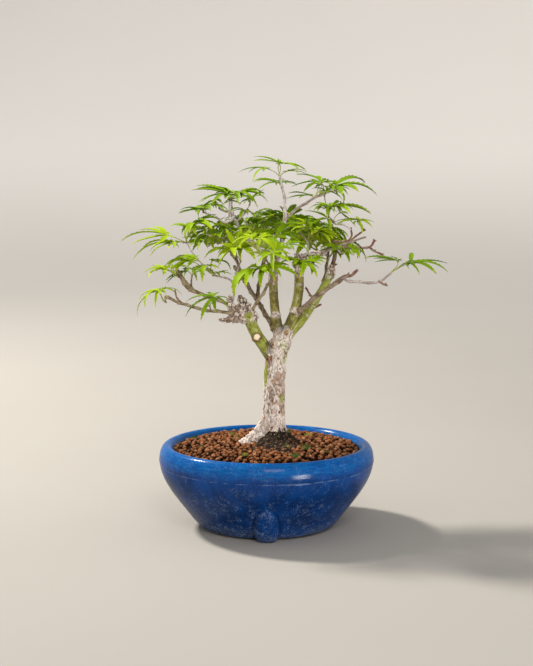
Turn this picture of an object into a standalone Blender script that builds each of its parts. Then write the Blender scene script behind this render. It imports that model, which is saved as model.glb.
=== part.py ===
"""A Japanese maple bonsai in a round glazed bowl. Metres, +Z up, -Y to the front.

The origin is the middle of the bowl's flat underside. Every limb is a tapering round
solid that follows one smooth arc from a place on its parent, and every mass of foliage
is an uneven, lumpy pad. Neighbouring solids keep a narrow gap between them.
"""

from math import cos, pi, radians, sin, sqrt, tau

import bmesh
import bpy
from mathutils import Euler, Vector, noise

MM = 0.001
GAP = 0.3 * MM

# Bowl
POT_HEIGHT = 78 * MM
POT_BELLY_RADIUS = 100.6 * MM
POT_BELLY_HEIGHT = 65 * MM
POT_BASE_RADIUS = 66 * MM
POT_BASE_LIFT = 3 * MM
POT_UNDERSIDE_RADIUS = 54 * MM
POT_WALL = 7 * MM
POT_FLOOR = 10 * MM
POT_SWELL = 1.14
RIM_HALF_WIDTH = 7.5 * MM
RIM_UNDERCUT_HEIGHT = 54 * MM
POT_SIDES = 40
WALL_STEPS = 5
RIM_STEPS = 7

# Three egg-shaped feet
FOOT_AZIMUTHS = (270, 30, 150)
FOOT_HEIGHT = 35 * MM
FOOT_HALF_WIDTH = 11.2 * MM
FOOT_PROUD = 10.8 * MM
FOOT_SUNK = 6 * MM
FOOT_WIDEST = 0.3
FOOT_TOP = 0.2
FOOT_STEPS = 6
FOOT_SIDES = 12

# Soil
SOIL_EDGE_HEIGHT = 74.5 * MM
SOIL_CROWN_HEIGHT = 78.6 * MM
SOIL_PLATEAU_RADIUS = 36 * MM

# Trunk
TRUNK_FOOT = Vector((7.4 * MM, 0, SOIL_CROWN_HEIGHT + GAP))
TRUNK_ARC = (0, 90, 0, -30)
TRUNK_LATENESS = 6
TRUNK_LENGTH = 100.5 * MM
TRUNK_RADII = (10.1 * MM, 9.6 * MM)
TRUNK_RINGS = 11
TRUNK_CROWDING = 1.6
TRUNK_SIDES = 18
ROOT_SHARPNESS = 7
ROOT_TAPER = 1.8
# Azimuth of each surface root, its reach beyond the trunk and the height it dies away in.
ROOTS = (
    (186, 25 * MM, 30 * MM),
    (352, 16 * MM, 16 * MM),
    (284, 15 * MM, 18 * MM),
    (240, 9 * MM, 16 * MM),
    (62, 11 * MM, 18 * MM),
    (128, 9 * MM, 18 * MM),
)

# Limbs
LIMB_STEPS = 6
LIMB_SIDES = 7
# name: parent, place along it, (azimuth, rise, turn, lift) in degrees, length,
# radius at the root and at the tip.
LIMBS = {
    "bough_left": ("trunk", 0.76, (-174, 50, 27, 18), 56 * MM, 5.6 * MM, 5.2 * MM),
    "stem_centre": ("trunk", 0.95, (124, 69, 10, 24), 67 * MM, 5.2 * MM, 4.0 * MM),
    "stem_right": ("trunk", 0.97, (0, 57, -89, 35), 77 * MM, 5.0 * MM, 4.0 * MM),
    "bough_right": ("trunk", 0.93, (15, 42, 12, 18), 83 * MM, 5.4 * MM, 3.4 * MM),
    "stem_back": ("trunk", 0.95, (120, 44, 30, 6), 91 * MM, 2.7 * MM, 1.9 * MM),
    "leader": ("stem_centre", 1.0, (-51, 62, 58, 45), 91 * MM, 3.2 * MM, 1.2 * MM),
    "branch_left_low": ("bough_left", 1.0, (-168, -4, 3, 32), 78 * MM, 2.6 * MM, 1.5 * MM),
    "branch_left_high": ("bough_left", 1.0, (174, 20, -19, 16), 76 * MM, 2.6 * MM, 1.5 * MM),
    "branch_right_tip": ("bough_right", 1.0, (41, 78, -4, -6), 23 * MM, 2.2 * MM, 1.5 * MM),
    "branch_crossing": ("stem_right", 0.28, (-46, 43, 39, -10), 65 * MM, 2.5 * MM, 2.0 * MM),
    "branch_far_right": ("branch_crossing", 1.0, (-13, -25, 16, 52), 43 * MM, 1.8 * MM, 1.4 * MM),
    "branch_upper_left": ("leader", 0.20, (141, 3, 74, 85), 75 * MM, 2.0 * MM, 1.3 * MM),
    "branch_upper_right": ("leader", 0.55, (-2, 46, 9, -33), 57 * MM, 1.8 * MM, 1.2 * MM),
    "branch_side_right": ("stem_right", 1.0, (20, 23, -16, -7), 67 * MM, 2.2 * MM, 1.4 * MM),
    "branch_back_left": ("stem_back", 0.80, (113, 47, 28, -4), 56 * MM, 1.8 * MM, 1.3 * MM),
    "branch_back_centre": ("stem_back", 0.55, (82, 57, -20, -10), 84 * MM, 2.0 * MM, 1.3 * MM),
    "branch_back_right": ("bough_right", 0.75, (70, 39, 19, 5), 66 * MM, 2.2 * MM, 1.4 * MM),
    "branch_front": ("bough_left", 0.90, (7, 63, -124, -28), 85 * MM, 2.0 * MM, 1.3 * MM),
}

# The knot of scaly bark that ends the left bough: centre, half sizes.
BURR_NAME = "burr_left"
BURR_CENTRE = Vector((-24, -10, 207)) * MM
BURR_HALF = Vector((10.5, 9, 13)) * MM
BURR_LUMPS = 0.35
BURR_SEED = 3

# Foliage
MASS_SIDES = 16
MASS_BANDS = 7
MASS_LUMPS = 0.22
MASS_GRAIN = 1.7
SEED_STRIDE = Vector((7.3, 3.1, 5.7))
MASS_LOBES = 0.12
MASS_DROOP = 0.45
# name: centre, half sizes, yaw and tilt in degrees, number of leaf lobes.
MASSES = {
    "foliage_top": ((13, 0, 329), (30, 25, 13), 12, -3, 5),
    "foliage_top_right": ((70, 2, 317), (39, 22, 9), 0, 4, 6),
    "foliage_upper_left": ((-40, 10, 306), (38, 25, 13), 10, -8, 6),
    "foliage_left_shoulder": ((-68, -6, 281), (21, 20, 11), 30, -20, 5),
    "foliage_far_left": ((-113, -20, 258), (30, 20, 10), 0, -14, 5),
    "foliage_mid_left": ((-88, 4, 240), (30, 19, 7), 8, -8, 6),
    "foliage_low_left": ((-100, -28, 216), (22, 15, 11), 0, -22, 5),
    "foliage_centre_left": ((-30, -26, 267), (27, 22, 15), 20, -10, 5),
    "foliage_hanging": ((-12, -38, 238), (24, 16, 8), 0, -8, 5),
    "foliage_heart": ((20, 8, 278), (28, 26, 14), 0, 6, 6),
    "foliage_right_upper": ((76, 4, 286), (25, 22, 12), 0, 8, 5),
    "foliage_front_right": ((40, -34, 245), (20, 15, 9), 0, 8, 5),
    "foliage_right_low": ((82, 14, 258), (23, 17, 8), 0, 6, 5),
    "foliage_far_right": ((133, -28, 243), (42, 15, 7), 0, 8, 5),
    "foliage_back_left": ((-46, 72, 274), (34, 32, 15), 25, -8, 6),
    "foliage_back_centre": ((14, 84, 288), (35, 28, 15), 0, 0, 6),
    "foliage_back_right": ((66, 66, 270), (31, 30, 13), -20, 8, 5),
    "foliage_front": ((8, -60, 268), (29, 24, 12), 0, 0, 6),
}
FAR_TIPS = {
    "foliage_far_right": Vector((174, -28, 240)) * MM,
    "foliage_far_left": Vector((-142, -20, 256)) * MM,
    "foliage_top": Vector((-13, 0, 345)) * MM,
}
TIP_SPREAD = 0.80


def clear_scene():
    for thing in list(bpy.data.objects):
        bpy.data.objects.remove(thing, do_unlink=True)


def finish_material(name, colour, roughness, metallic=0.0):
    made = bpy.data.materials.new(name)
    made.use_nodes = True
    shader = made.node_tree.nodes["Principled BSDF"]
    shader.inputs["Base Color"].default_value = (*colour, 1)
    shader.inputs["Roughness"].default_value = roughness
    shader.inputs["Metallic"].default_value = metallic
    made.diffuse_color = (*colour, 1)
    return made


def add_object(name, shape, material):
    """A new object from a bmesh, with smooth shading."""
    bmesh.ops.recalc_face_normals(shape, faces=shape.faces)
    mesh = bpy.data.meshes.new(name)
    shape.to_mesh(mesh)
    shape.free()
    mesh.shade_smooth()
    mesh.materials.append(material)
    made = bpy.data.objects.new(name, mesh)
    bpy.context.collection.objects.link(made)
    return made


def hide_helper(helper):
    helper.hide_render = True
    helper.display_type = "WIRE"


def add_boolean(target, other, operation):
    cut = target.modifiers.new(operation.title() + "_" + other.name, "BOOLEAN")
    cut.operation = operation
    cut.object = other
    cut.solver = "EXACT"


def loft(rings):
    """A closed solid through rings that have the same number of points."""
    shape = bmesh.new()
    loops = [[shape.verts.new(point) for point in ring] for ring in rings]
    sides = len(rings[0])
    for low, high in zip(loops, loops[1:]):
        for i in range(sides):
            j = (i + 1) % sides
            shape.faces.new((low[i], low[j], high[j], high[i]))
    shape.faces.new(list(reversed(loops[0])))
    shape.faces.new(loops[-1])
    return shape


def heading(azimuth, rise):
    return Vector(
        (
            cos(radians(rise)) * cos(radians(azimuth)),
            cos(radians(rise)) * sin(radians(azimuth)),
            sin(radians(rise)),
        )
    )


def arc_path(start, arc, length, steps, lateness=1):
    """Points along a limb whose heading changes evenly from its root to its tip, or late."""
    azimuth, rise, turn, lift = arc
    points = [start.copy()]
    for step in range(steps):
        middle = ((step + 0.5) / steps) ** lateness
        stride = heading(azimuth + turn * middle, rise + lift * middle) * (length / steps)
        points.append(points[-1] + stride)
    return points


def place_along(points, fraction):
    reach = fraction * (len(points) - 1)
    step = min(int(reach), len(points) - 2)
    return points[step].lerp(points[step + 1], reach - step)


def rings_along(points, radii, sides, extra=0.0):
    """Round cross-sections square to the path, kept free of twist."""
    side = Vector((0, 1, 0))
    rings = []
    last = len(points) - 1
    for step, point in enumerate(points):
        along = (points[min(step + 1, last)] - points[max(step - 1, 0)]).normalized()
        side = (side - along * side.dot(along)).normalized()
        other = along.cross(side)
        radius = radii[0] + (radii[1] - radii[0]) * step / last + extra
        angles = [tau * i / sides for i in range(sides)]
        rings.append([point + side * radius * cos(a) + other * radius * sin(a) for a in angles])
    return rings


# Bowl and soil


def outer_radius(height):
    """Radius of the bowl's outside between its base edge and its belly."""
    share = (height - POT_BASE_LIFT) / (POT_BELLY_HEIGHT - POT_BASE_LIFT)
    swell = sin(pi / 2 * max(share, 0) ** POT_SWELL)
    return POT_BASE_RADIUS + (POT_BELLY_RADIUS - POT_BASE_RADIUS) * swell


def rim_point(angle):
    """A point of the rolled rim: 0 is its outer side, 90 its top, 180 its inner side."""
    middle = POT_BELLY_RADIUS - RIM_HALF_WIDTH
    rise = POT_HEIGHT - POT_BELLY_HEIGHT
    return (
        middle + RIM_HALF_WIDTH * cos(radians(angle)),
        POT_BELLY_HEIGHT + rise * sin(radians(angle)),
    )


def inner_radius(height):
    """Radius of the bowl's inside, which is drawn in under the rolled rim."""
    if height >= POT_BELLY_HEIGHT:
        share = (height - POT_BELLY_HEIGHT) / (POT_HEIGHT - POT_BELLY_HEIGHT)
        return POT_BELLY_RADIUS - RIM_HALF_WIDTH * (1 + sqrt(1 - share * share))
    wall = outer_radius(height) - POT_WALL
    lip = POT_BELLY_RADIUS - 2 * RIM_HALF_WIDTH
    share = (height - RIM_UNDERCUT_HEIGHT) / (POT_BELLY_HEIGHT - RIM_UNDERCUT_HEIGHT)
    blend = min(max(share, 0), 1)
    return wall + (lip - wall) * blend


def spaced(low, high, count):
    return [low + (high - low) * i / (count - 1) for i in range(count)]


def turned(name, profile, material):
    """A solid turned about the Z axis from its (radius, height) profile."""
    shape = bmesh.new()
    points = [shape.verts.new((radius, 0, height)) for radius, height in profile]
    for first, second in zip(points, points[1:]):
        shape.edges.new((first, second))
    mesh = bpy.data.meshes.new(name)
    shape.to_mesh(mesh)
    shape.free()
    mesh.materials.append(material)
    made = bpy.data.objects.new(name, mesh)
    bpy.context.collection.objects.link(made)
    screw = made.modifiers.new("Turned", "SCREW")
    screw.axis = "Z"
    screw.angle = tau
    screw.steps = POT_SIDES
    screw.render_steps = POT_SIDES
    screw.use_merge_vertices = True
    screw.merge_threshold = 0.00001
    screw.use_smooth_shade = True
    return made


def foot_swell(share):
    """Width of a foot at a share of its height, against its widest: an egg's outline."""
    if share < FOOT_WIDEST:
        return 1 - (1 - share / FOOT_WIDEST) ** 2 * FOOT_TOP / 2
    return max(sqrt(1 - ((share - FOOT_WIDEST) / (1 - FOOT_WIDEST)) ** 2), FOOT_TOP)


def add_foot(azimuth, material):
    """One egg-shaped foot, flat on the ground and sunk into the wall behind it."""
    outward = heading(azimuth, 0)
    across = heading(azimuth + 90, 0)
    rings = []
    for step in range(FOOT_STEPS + 1):
        share = sin(pi / 2 * step / FOOT_STEPS)
        height = FOOT_HEIGHT * share
        wall = outer_radius(max(height, POT_BASE_LIFT))
        front = wall + FOOT_PROUD * foot_swell(share) * (1 - share)
        back = wall - FOOT_SUNK
        centre = outward * ((front + back) / 2) + Vector((0, 0, height))
        half_width = FOOT_HALF_WIDTH * foot_swell(share)
        ring = []
        for i in range(FOOT_SIDES):
            angle = tau * i / FOOT_SIDES
            point = centre + outward * ((front - back) / 2) * cos(angle)
            ring.append(point + across * half_width * sin(angle))
        rings.append(ring)
    foot = add_object(f"foot_shape_{azimuth}", loft(rings), material)
    hide_helper(foot)
    return foot


def add_pot():
    material = finish_material("blue_glaze", (0.015, 0.07, 0.30), 0.18)
    floor_radius = inner_radius(POT_FLOOR) - POT_WALL
    inside = [(0, POT_FLOOR), (floor_radius, POT_FLOOR)]
    inside += [(inner_radius(z), z) for z in spaced(POT_FLOOR + POT_WALL, POT_BELLY_HEIGHT, WALL_STEPS)]
    rim = [rim_point(angle) for angle in reversed(spaced(0, 180, RIM_STEPS))][1:-1]
    outside = [(outer_radius(z), z) for z in spaced(POT_BELLY_HEIGHT, POT_BASE_LIFT, WALL_STEPS)]
    under = [(POT_UNDERSIDE_RADIUS, 0), (0, 0)]
    pot = turned("pot", inside + rim + outside + under, material)
    for azimuth in FOOT_AZIMUTHS:
        add_boolean(pot, add_foot(azimuth, material), "UNION")
    return pot


def add_soil():
    material = finish_material("clay_granules", (0.17, 0.065, 0.035), 0.95)
    edge = inner_radius(SOIL_EDGE_HEIGHT) - GAP
    top = [(0, SOIL_CROWN_HEIGHT), (SOIL_PLATEAU_RADIUS, SOIL_CROWN_HEIGHT), (edge, SOIL_EDGE_HEIGHT)]
    low = POT_FLOOR + POT_WALL
    first_bend = rim_point(180 - 180 / (RIM_STEPS - 1))[1]
    heights = [first_bend] + spaced(POT_BELLY_HEIGHT, low, WALL_STEPS)
    side = [(inner_radius(z) - GAP, z) for z in heights]
    floor_radius = inner_radius(POT_FLOOR) - POT_WALL - GAP
    bottom = [(floor_radius, POT_FLOOR + GAP), (0, POT_FLOOR + GAP)]
    return turned("soil", top + side + bottom, material)


# Wood


def root_reach(height, angle):
    """How far the surface roots push the trunk's foot out at this height and angle."""
    spread = 0
    for azimuth, reach, rise in ROOTS:
        facing = max(cos(angle - radians(azimuth)), 0)
        spread += reach * facing**ROOT_SHARPNESS * max(1 - height / rise, 0) ** ROOT_TAPER
    return spread


def trunk_path():
    return arc_path(TRUNK_FOOT, TRUNK_ARC, TRUNK_LENGTH, TRUNK_RINGS - 1, TRUNK_LATENESS)


def trunk_shape(extra=0.0):
    """The trunk, level where it is cut at the soil, with a root flare, up to its fork."""
    points = trunk_path()
    rings = []
    for step in range(TRUNK_RINGS):
        share = (step / (TRUNK_RINGS - 1)) ** TRUNK_CROWDING
        height = TRUNK_LENGTH * share
        middle = place_along(points, share)
        radius = TRUNK_RADII[0] + (TRUNK_RADII[1] - TRUNK_RADII[0]) * share + extra
        ring = []
        for i in range(TRUNK_SIDES):
            angle = tau * i / TRUNK_SIDES
            reach = radius + root_reach(height, angle)
            ring.append(middle + Vector((cos(angle), sin(angle), 0)) * reach)
        rings.append(ring)
    return loft(rings)


def limb_paths():
    """The centre line of the trunk and of each limb, by name."""
    paths = {"trunk": trunk_path()}
    for name, (parent, fraction, arc, length, _, _) in LIMBS.items():
        start = place_along(paths[parent], fraction)
        paths[name] = arc_path(start, arc, length, LIMB_STEPS)
    return paths


def limb_shape(path, radii, extra=0.0):
    return loft(rings_along(path, radii, LIMB_SIDES, extra))


def lumpy_shape(centre, half, turn, lumps, lobes, droop, tip, seed, extra=0.0):
    """An uneven pad: a ball stretched to its half sizes, with lobes round its edge."""
    shape = bmesh.new()
    bmesh.ops.create_uvsphere(shape, u_segments=MASS_SIDES, v_segments=MASS_BANDS, radius=1)
    offset = SEED_STRIDE * seed
    for vert in shape.verts:
        way = vert.co.normalized()
        flat = sqrt(way.x**2 + way.y**2)
        bulge = 1 + lumps * noise.noise(way * MASS_GRAIN + offset)
        if lobes:
            angle = Vector((1, 0)).angle_signed(Vector((way.x, way.y)), 0)
            bulge += MASS_LOBES * flat * cos(lobes * angle + seed)
        point = Vector(way[i] * half[i] * bulge for i in range(3))
        point.z -= droop * half[2] * flat**3
        point += way * extra
        vert.co = centre + turn @ point
    if tip:
        draw_out(shape, centre, tip, extra)
    return shape


def draw_out(shape, centre, tip, extra):
    """Pulls the side of a pad that faces its furthest leaf tip out to it."""
    reach = (tip - centre).length + extra
    way = (tip - centre).normalized()
    for vert in shape.verts:
        spoke = vert.co - centre
        facing = spoke.normalized().dot(way)
        if facing > TIP_SPREAD:
            share = ((facing - TIP_SPREAD) / (1 - TIP_SPREAD)) ** 2
            target = centre + way * reach
            vert.co = vert.co.lerp(target, share)


def burr_shape(extra=0.0):
    still = Euler((0, 0, 0)).to_matrix()
    return lumpy_shape(
        BURR_CENTRE, BURR_HALF, still, BURR_LUMPS, 0, 0, None, BURR_SEED, extra
    )


def mass_shape(name, seed, extra=0.0):
    centre, half, yaw, tilt, lobes = MASSES[name]
    turn = Euler((0, radians(-tilt), radians(yaw))).to_matrix()
    tip = FAR_TIPS.get(name)
    return lumpy_shape(
        Vector(centre) * MM,
        Vector(half) * MM,
        turn,
        MASS_LUMPS,
        lobes,
        MASS_DROOP,
        tip,
        seed,
        extra,
    )


def box_of(thing):
    points = [vert.co for vert in thing.data.vertices]
    low = Vector(min(p[i] for p in points) for i in range(3))
    high = Vector(max(p[i] for p in points) for i in range(3))
    return low, high


def boxes_meet(first, second):
    (low_a, high_a), (low_b, high_b) = first, second
    return all(low_a[i] < high_b[i] + GAP and low_b[i] < high_a[i] + GAP for i in range(3))


def add_tree():
    """Trunk, limbs and foliage. Each solid is cut back from those made before it."""
    bark = finish_material("bark", (0.30, 0.25, 0.17), 0.85)
    green_bark = finish_material("green_bark", (0.22, 0.25, 0.10), 0.75)
    leaves = finish_material("leaves", (0.16, 0.34, 0.04), 0.60)
    paths = limb_paths()
    makers = {"trunk": (trunk_shape, bark)}
    for name, (_, _, _, _, root, tip) in LIMBS.items():
        makers[name] = (
            lambda extra=0.0, path=paths[name], radii=(root, tip): limb_shape(path, radii, extra),
            green_bark,
        )
        if name == "bough_left":
            makers[BURR_NAME] = (burr_shape, bark)
    for seed, name in enumerate(MASSES):
        makers[name] = (
            lambda extra=0.0, name=name, seed=seed: mass_shape(name, seed, extra),
            leaves,
        )
    earlier = []
    for name, (make, material) in makers.items():
        solid = add_object(name, make(), material)
        for grown in earlier:
            if boxes_meet(box_of(solid), box_of(grown)):
                add_boolean(solid, grown, "DIFFERENCE")
        cutter = add_object(f"space_round_{name}", make(GAP), material)
        hide_helper(cutter)
        earlier.append(cutter)


def main():
    clear_scene()
    add_pot()
    add_soil()
    add_tree()


main()
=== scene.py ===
"""Looks of a potted Japanese maple bonsai: glazed bowl, clay granules, bark, twigs and leaves.

Metres, +Z up, -Y to the front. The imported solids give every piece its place.
"""

from math import atan2, ceil, cos, pi, radians, sin, sqrt, tau

import bpy
import numpy as np
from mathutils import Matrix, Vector, noise


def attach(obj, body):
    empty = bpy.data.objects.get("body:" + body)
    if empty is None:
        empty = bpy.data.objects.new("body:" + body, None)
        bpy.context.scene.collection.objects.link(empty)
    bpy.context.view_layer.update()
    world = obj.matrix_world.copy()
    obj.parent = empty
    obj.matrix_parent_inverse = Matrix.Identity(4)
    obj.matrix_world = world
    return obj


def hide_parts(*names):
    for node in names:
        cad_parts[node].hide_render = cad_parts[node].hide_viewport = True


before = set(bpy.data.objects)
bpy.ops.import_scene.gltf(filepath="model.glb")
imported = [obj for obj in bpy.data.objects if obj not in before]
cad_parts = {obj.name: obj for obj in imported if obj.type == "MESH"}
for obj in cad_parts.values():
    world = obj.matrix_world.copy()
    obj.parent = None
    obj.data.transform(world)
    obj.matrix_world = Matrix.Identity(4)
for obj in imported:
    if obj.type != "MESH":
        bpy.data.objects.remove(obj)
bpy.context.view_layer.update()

MM = 0.001
UP = np.array((0.0, 0.0, 1.0))

# Camera and studio
LENS_MM = 85
SENSOR_MM = 36
CAMERA_PLACE = (0, -1.453, 0.369)
CAMERA_PITCH = 7.33

# Bowl, as the solids have it
POT_HEIGHT = 78 * MM
BELLY_RADIUS = 100.6 * MM
BELLY_HEIGHT = 65 * MM
BASE_RADIUS = 66 * MM
BASE_LIFT = 3 * MM
BASE_ROUNDING = 3.6 * MM
UNDERSIDE_RADIUS = 54 * MM
POT_WALL = 7 * MM
POT_FLOOR = 10 * MM
POT_SWELL = 1.14
RIM_HALF_WIDTH = 7.5 * MM
UNDERCUT_HEIGHT = 54 * MM
GROOVE_HEIGHT = 60 * MM
GROOVE_HALF_WIDTH = 0.8 * MM
GROOVE_DEPTH = 0.4 * MM
FOOT_AZIMUTHS = (270, 30, 150)
FOOT_HEIGHT = 35 * MM
FOOT_HALF_WIDTH = 11.2 * MM
FOOT_PROUD = 10.8 * MM
FOOT_WIDEST = 0.36

# Soil
SOIL_EDGE_HEIGHT = 74.5 * MM
SOIL_CROWN_HEIGHT = 78.6 * MM
SOIL_PLATEAU_RADIUS = 36 * MM
SOIL_RADIUS = 89 * MM
# From where to where, out from the middle, the granules sink towards the wall
SINKING = (72 * MM, 86 * MM)

# Trunk and limbs, as the solids have them
TRUNK_FOOT = (7.4 * MM, 0, SOIL_CROWN_HEIGHT + 0.3 * MM)
TRUNK_ARC = (0, 90, 0, -30)
TRUNK_LATENESS = 6
TRUNK_LENGTH = 100.5 * MM
TRUNK_RADII = (10.1 * MM, 9.6 * MM)
ROOT_TAPER = 1.8
# Azimuth, reach, rise and narrowness of each root.
ROOTS = (
    (188, 25 * MM, 30 * MM, 13),
    (352, 16 * MM, 16 * MM, 9),
    (284, 15 * MM, 18 * MM, 7),
    (240, 9 * MM, 16 * MM, 7),
    (62, 11 * MM, 18 * MM, 7),
    (128, 9 * MM, 18 * MM, 7),
)
# name: parent, place along it, (azimuth, rise, turn, lift), length, root and tip radius, and the
# colour of the thin ones: 0 green, 0.5 grey-brown, 1 lilac.
LIMBS = {
    "bough_left": ("trunk", 0.76, (-174, 50, 27, 18), 56, 5.6, 5.2),
    "stem_centre": ("trunk", 0.95, (124, 69, 10, 24), 67, 4.9, 4.0),
    "stem_right": ("trunk", 0.97, (0, 57, -89, 35), 77, 5.0, 4.2),
    "bough_right": ("trunk", 0.93, (15, 42, 12, 18), 83, 5.2, 3.2),
    "stem_back": ("trunk", 0.95, (120, 44, 30, 6), 91, 2.5, 1.7, 0.42),
    "leader": ("stem_centre", 1.0, (-51, 62, 58, 45), 91, 2.7, 1.0, 0.80),
    "branch_left_low": ("bough_left", 1.0, (-168, -4, 3, 32), 78, 2.2, 1.3, 0.30),
    "branch_left_high": ("bough_left", 1.0, (174, 20, -19, 16), 76, 2.4, 2.0, 0.32),
    "branch_right_tip": ("bough_right", 1.0, (41, 78, -4, -6), 23, 1.9, 1.2, 0.45),
    "branch_crossing": ("stem_right", 0.28, (-46, 43, 39, -10), 65, 2.3, 1.9, 0.42),
    "branch_far_right": ("branch_crossing", 1.0, (-13, -25, 16, 52), 43, 1.4, 1.0, 0.70),
    "branch_upper_left": ("leader", 0.20, (141, 3, 74, 85), 75, 1.9, 1.2, 0.95),
    "branch_upper_right": ("leader", 0.55, (-2, 46, 9, -33), 57, 1.7, 0.6, 0.65),
    "branch_side_right": ("stem_right", 1.0, (20, 23, -16, -7), 67, 2.2, 0.9, 0.60),
    "branch_back_left": ("stem_back", 0.80, (113, 47, 28, -4), 56, 1.6, 0.9, 0.40),
    "branch_back_centre": ("stem_back", 0.55, (82, 57, -20, -10), 84, 1.8, 0.9, 0.50),
    "branch_back_right": ("bough_right", 0.75, (70, 39, 19, 5), 66, 2.0, 1.0, 0.40),
    "branch_front": ("bough_left", 0.90, (7, 63, -124, -28), 85, 1.7, 0.9, 0.30),
}
LIMB_STEPS = 6
TRUNK_STEPS = 10
BOUGHS = ("bough_left", "stem_centre", "stem_right", "bough_right")
THIN_LIMBS = [name for name in LIMBS if name not in BOUGHS]


# ---------------------------------------------------------------- gathering shapes


class Heap:
    """Shapes gathered into one joined piece, with named values at their points."""

    def __init__(self):
        self.points, self.faces, self.finishes, self.values = [], [], [], {}
        self.count = 0

    def add(self, points, faces, finish=0, **values):
        points = np.asarray(points, float)
        self.points.append(points)
        for face in faces:
            self.faces.append([i + self.count for i in face])
        self.finishes.append(np.full(len(faces), finish) if np.isscalar(finish) else finish)
        for name, value in values.items():
            value = np.asarray(value, float)
            if value.ndim == 0:
                value = np.full(len(points), value)
            self.values.setdefault(name, []).append(value)
        self.count += len(points)

    def mesh(self, name, materials, smooth=True, sharp_over=None):
        made = bpy.data.meshes.new(name)
        made.from_pydata(np.concatenate(self.points).tolist(), [], self.faces)
        for material in materials:
            made.materials.append(material)
        made.polygons.foreach_set("material_index", np.concatenate(self.finishes).astype(np.int32))
        for key, parts in self.values.items():
            write_values(made, key, np.concatenate(parts))
        if smooth:
            made.shade_smooth()
        if sharp_over is not None:
            made.set_sharp_from_angle(angle=radians(sharp_over))
        made.update()
        return made


def write_values(mesh, name, values):
    kind = "FLOAT_VECTOR" if values.ndim == 2 else "FLOAT"
    layer = mesh.attributes.new(name, kind, "POINT")
    layer.data.foreach_set("vector" if values.ndim == 2 else "value", values.ravel())


def add_piece(name, mesh):
    made = bpy.data.objects.new(name, mesh)
    bpy.context.scene.collection.objects.link(made)
    return made


def deliver(piece, slot, *nodes):
    """The piece rides on the plant and stands for its solids; the slot is not used."""
    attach(piece, "root")
    if nodes:
        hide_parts(*nodes)


def evaluated_mesh(thing):
    """The thing's finished mesh, with its modifiers worked in, and the thing removed."""
    graph = bpy.context.evaluated_depsgraph_get()
    made = bpy.data.meshes.new_from_object(thing.evaluated_get(graph))
    bpy.data.objects.remove(thing, do_unlink=True)
    return made


def points_of(mesh):
    flat = np.empty(len(mesh.vertices) * 3)
    mesh.vertices.foreach_get("co", flat)
    return flat.reshape(-1, 3)


def normals_of(mesh):
    flat = np.empty(len(mesh.vertices) * 3)
    mesh.vertex_normals.foreach_get("vector", flat)
    return flat.reshape(-1, 3)


def reshaped(mesh, name, points, material, values):
    """The mesh with its points moved and values written at them, as a piece."""
    mesh.vertices.foreach_set("co", points.ravel())
    mesh.update()
    for key, value in values.items():
        write_values(mesh, key, value)
    mesh.name = name
    mesh.materials.append(material)
    mesh.shade_smooth()
    return add_piece(name, mesh)


def unit(vector):
    return vector / max(np.linalg.norm(vector), 1e-12)


def bell(value):
    """1 at nought, dying away smoothly on both sides."""
    return np.exp(-(value**2))


def smooth_step(value, low, high):
    share = np.clip((value - low) / (high - low), 0, 1)
    return share * share * (3 - 2 * share)


def noise_at(points, size, seed=0.0, depth=1):
    """Noise from -1 to 1 at many points; the size of its lumps is in millimetres."""
    shift = Vector((seed * 17.3, seed * 9.1, seed * 5.7))
    places = points / (size * MM)
    if depth == 1:
        return np.array([noise.noise(Vector(p) + shift) for p in places])
    return np.array([noise.fractal(Vector(p) + shift, 0.8, 2.1, depth) for p in places])


def ridges_at(points, size, seed=0.0):
    """Sharp-crested noise, from 0 to about 1, for cracks and crests."""
    shift = Vector((seed * 7.7, seed * 3.9, seed * 11.3))
    places = points / (size * MM)
    return np.array([1 - abs(noise.noise(Vector(p) + shift)) * 2 for p in places]).clip(0, 1)


def circle(radius, angles, height=0.0):
    """Points round the upright axis."""
    x, y = radius * np.cos(angles), radius * np.sin(angles)
    return np.stack([x, y, np.broadcast_to(height, x.shape)], -1)


def bands(rows, sides, start=0, flip=False):
    """The quads between rows of points that each go once round, and their other way about."""
    quads = []
    for row in range(rows - 1):
        low = start + row * sides
        high = low + sides
        for i in range(sides):
            j = (i + 1) % sides
            if flip:
                quads.append((low + i, low + j, high + j, high + i))
            else:
                quads.append((low + i, high + i, high + j, low + j))
    return quads


def ends(rows, sides):
    """The faces that close the first and the last of the rows."""
    return [tuple(range(sides)), tuple(reversed(range((rows - 1) * sides, rows * sides)))]


def spread_evenly(count):
    """Angles once round."""
    return tau * np.arange(count) / count


def frames_along(path):
    """Heading, side and other side of each point of a path, kept free of twist."""
    ahead = np.gradient(path, axis=0)
    ahead /= np.linalg.norm(ahead, axis=1)[:, None]
    side = np.array((0.0, 1.0, 0.0))
    nearly_along = 0.9
    if abs(ahead[0] @ side) > nearly_along:
        side = np.array((1.0, 0.0, 0.0))
    sides = []
    for way in ahead:
        side = unit(side - way * (side @ way))
        sides.append(side)
    sides = np.array(sides)
    return ahead, sides, np.cross(ahead, sides)


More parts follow.
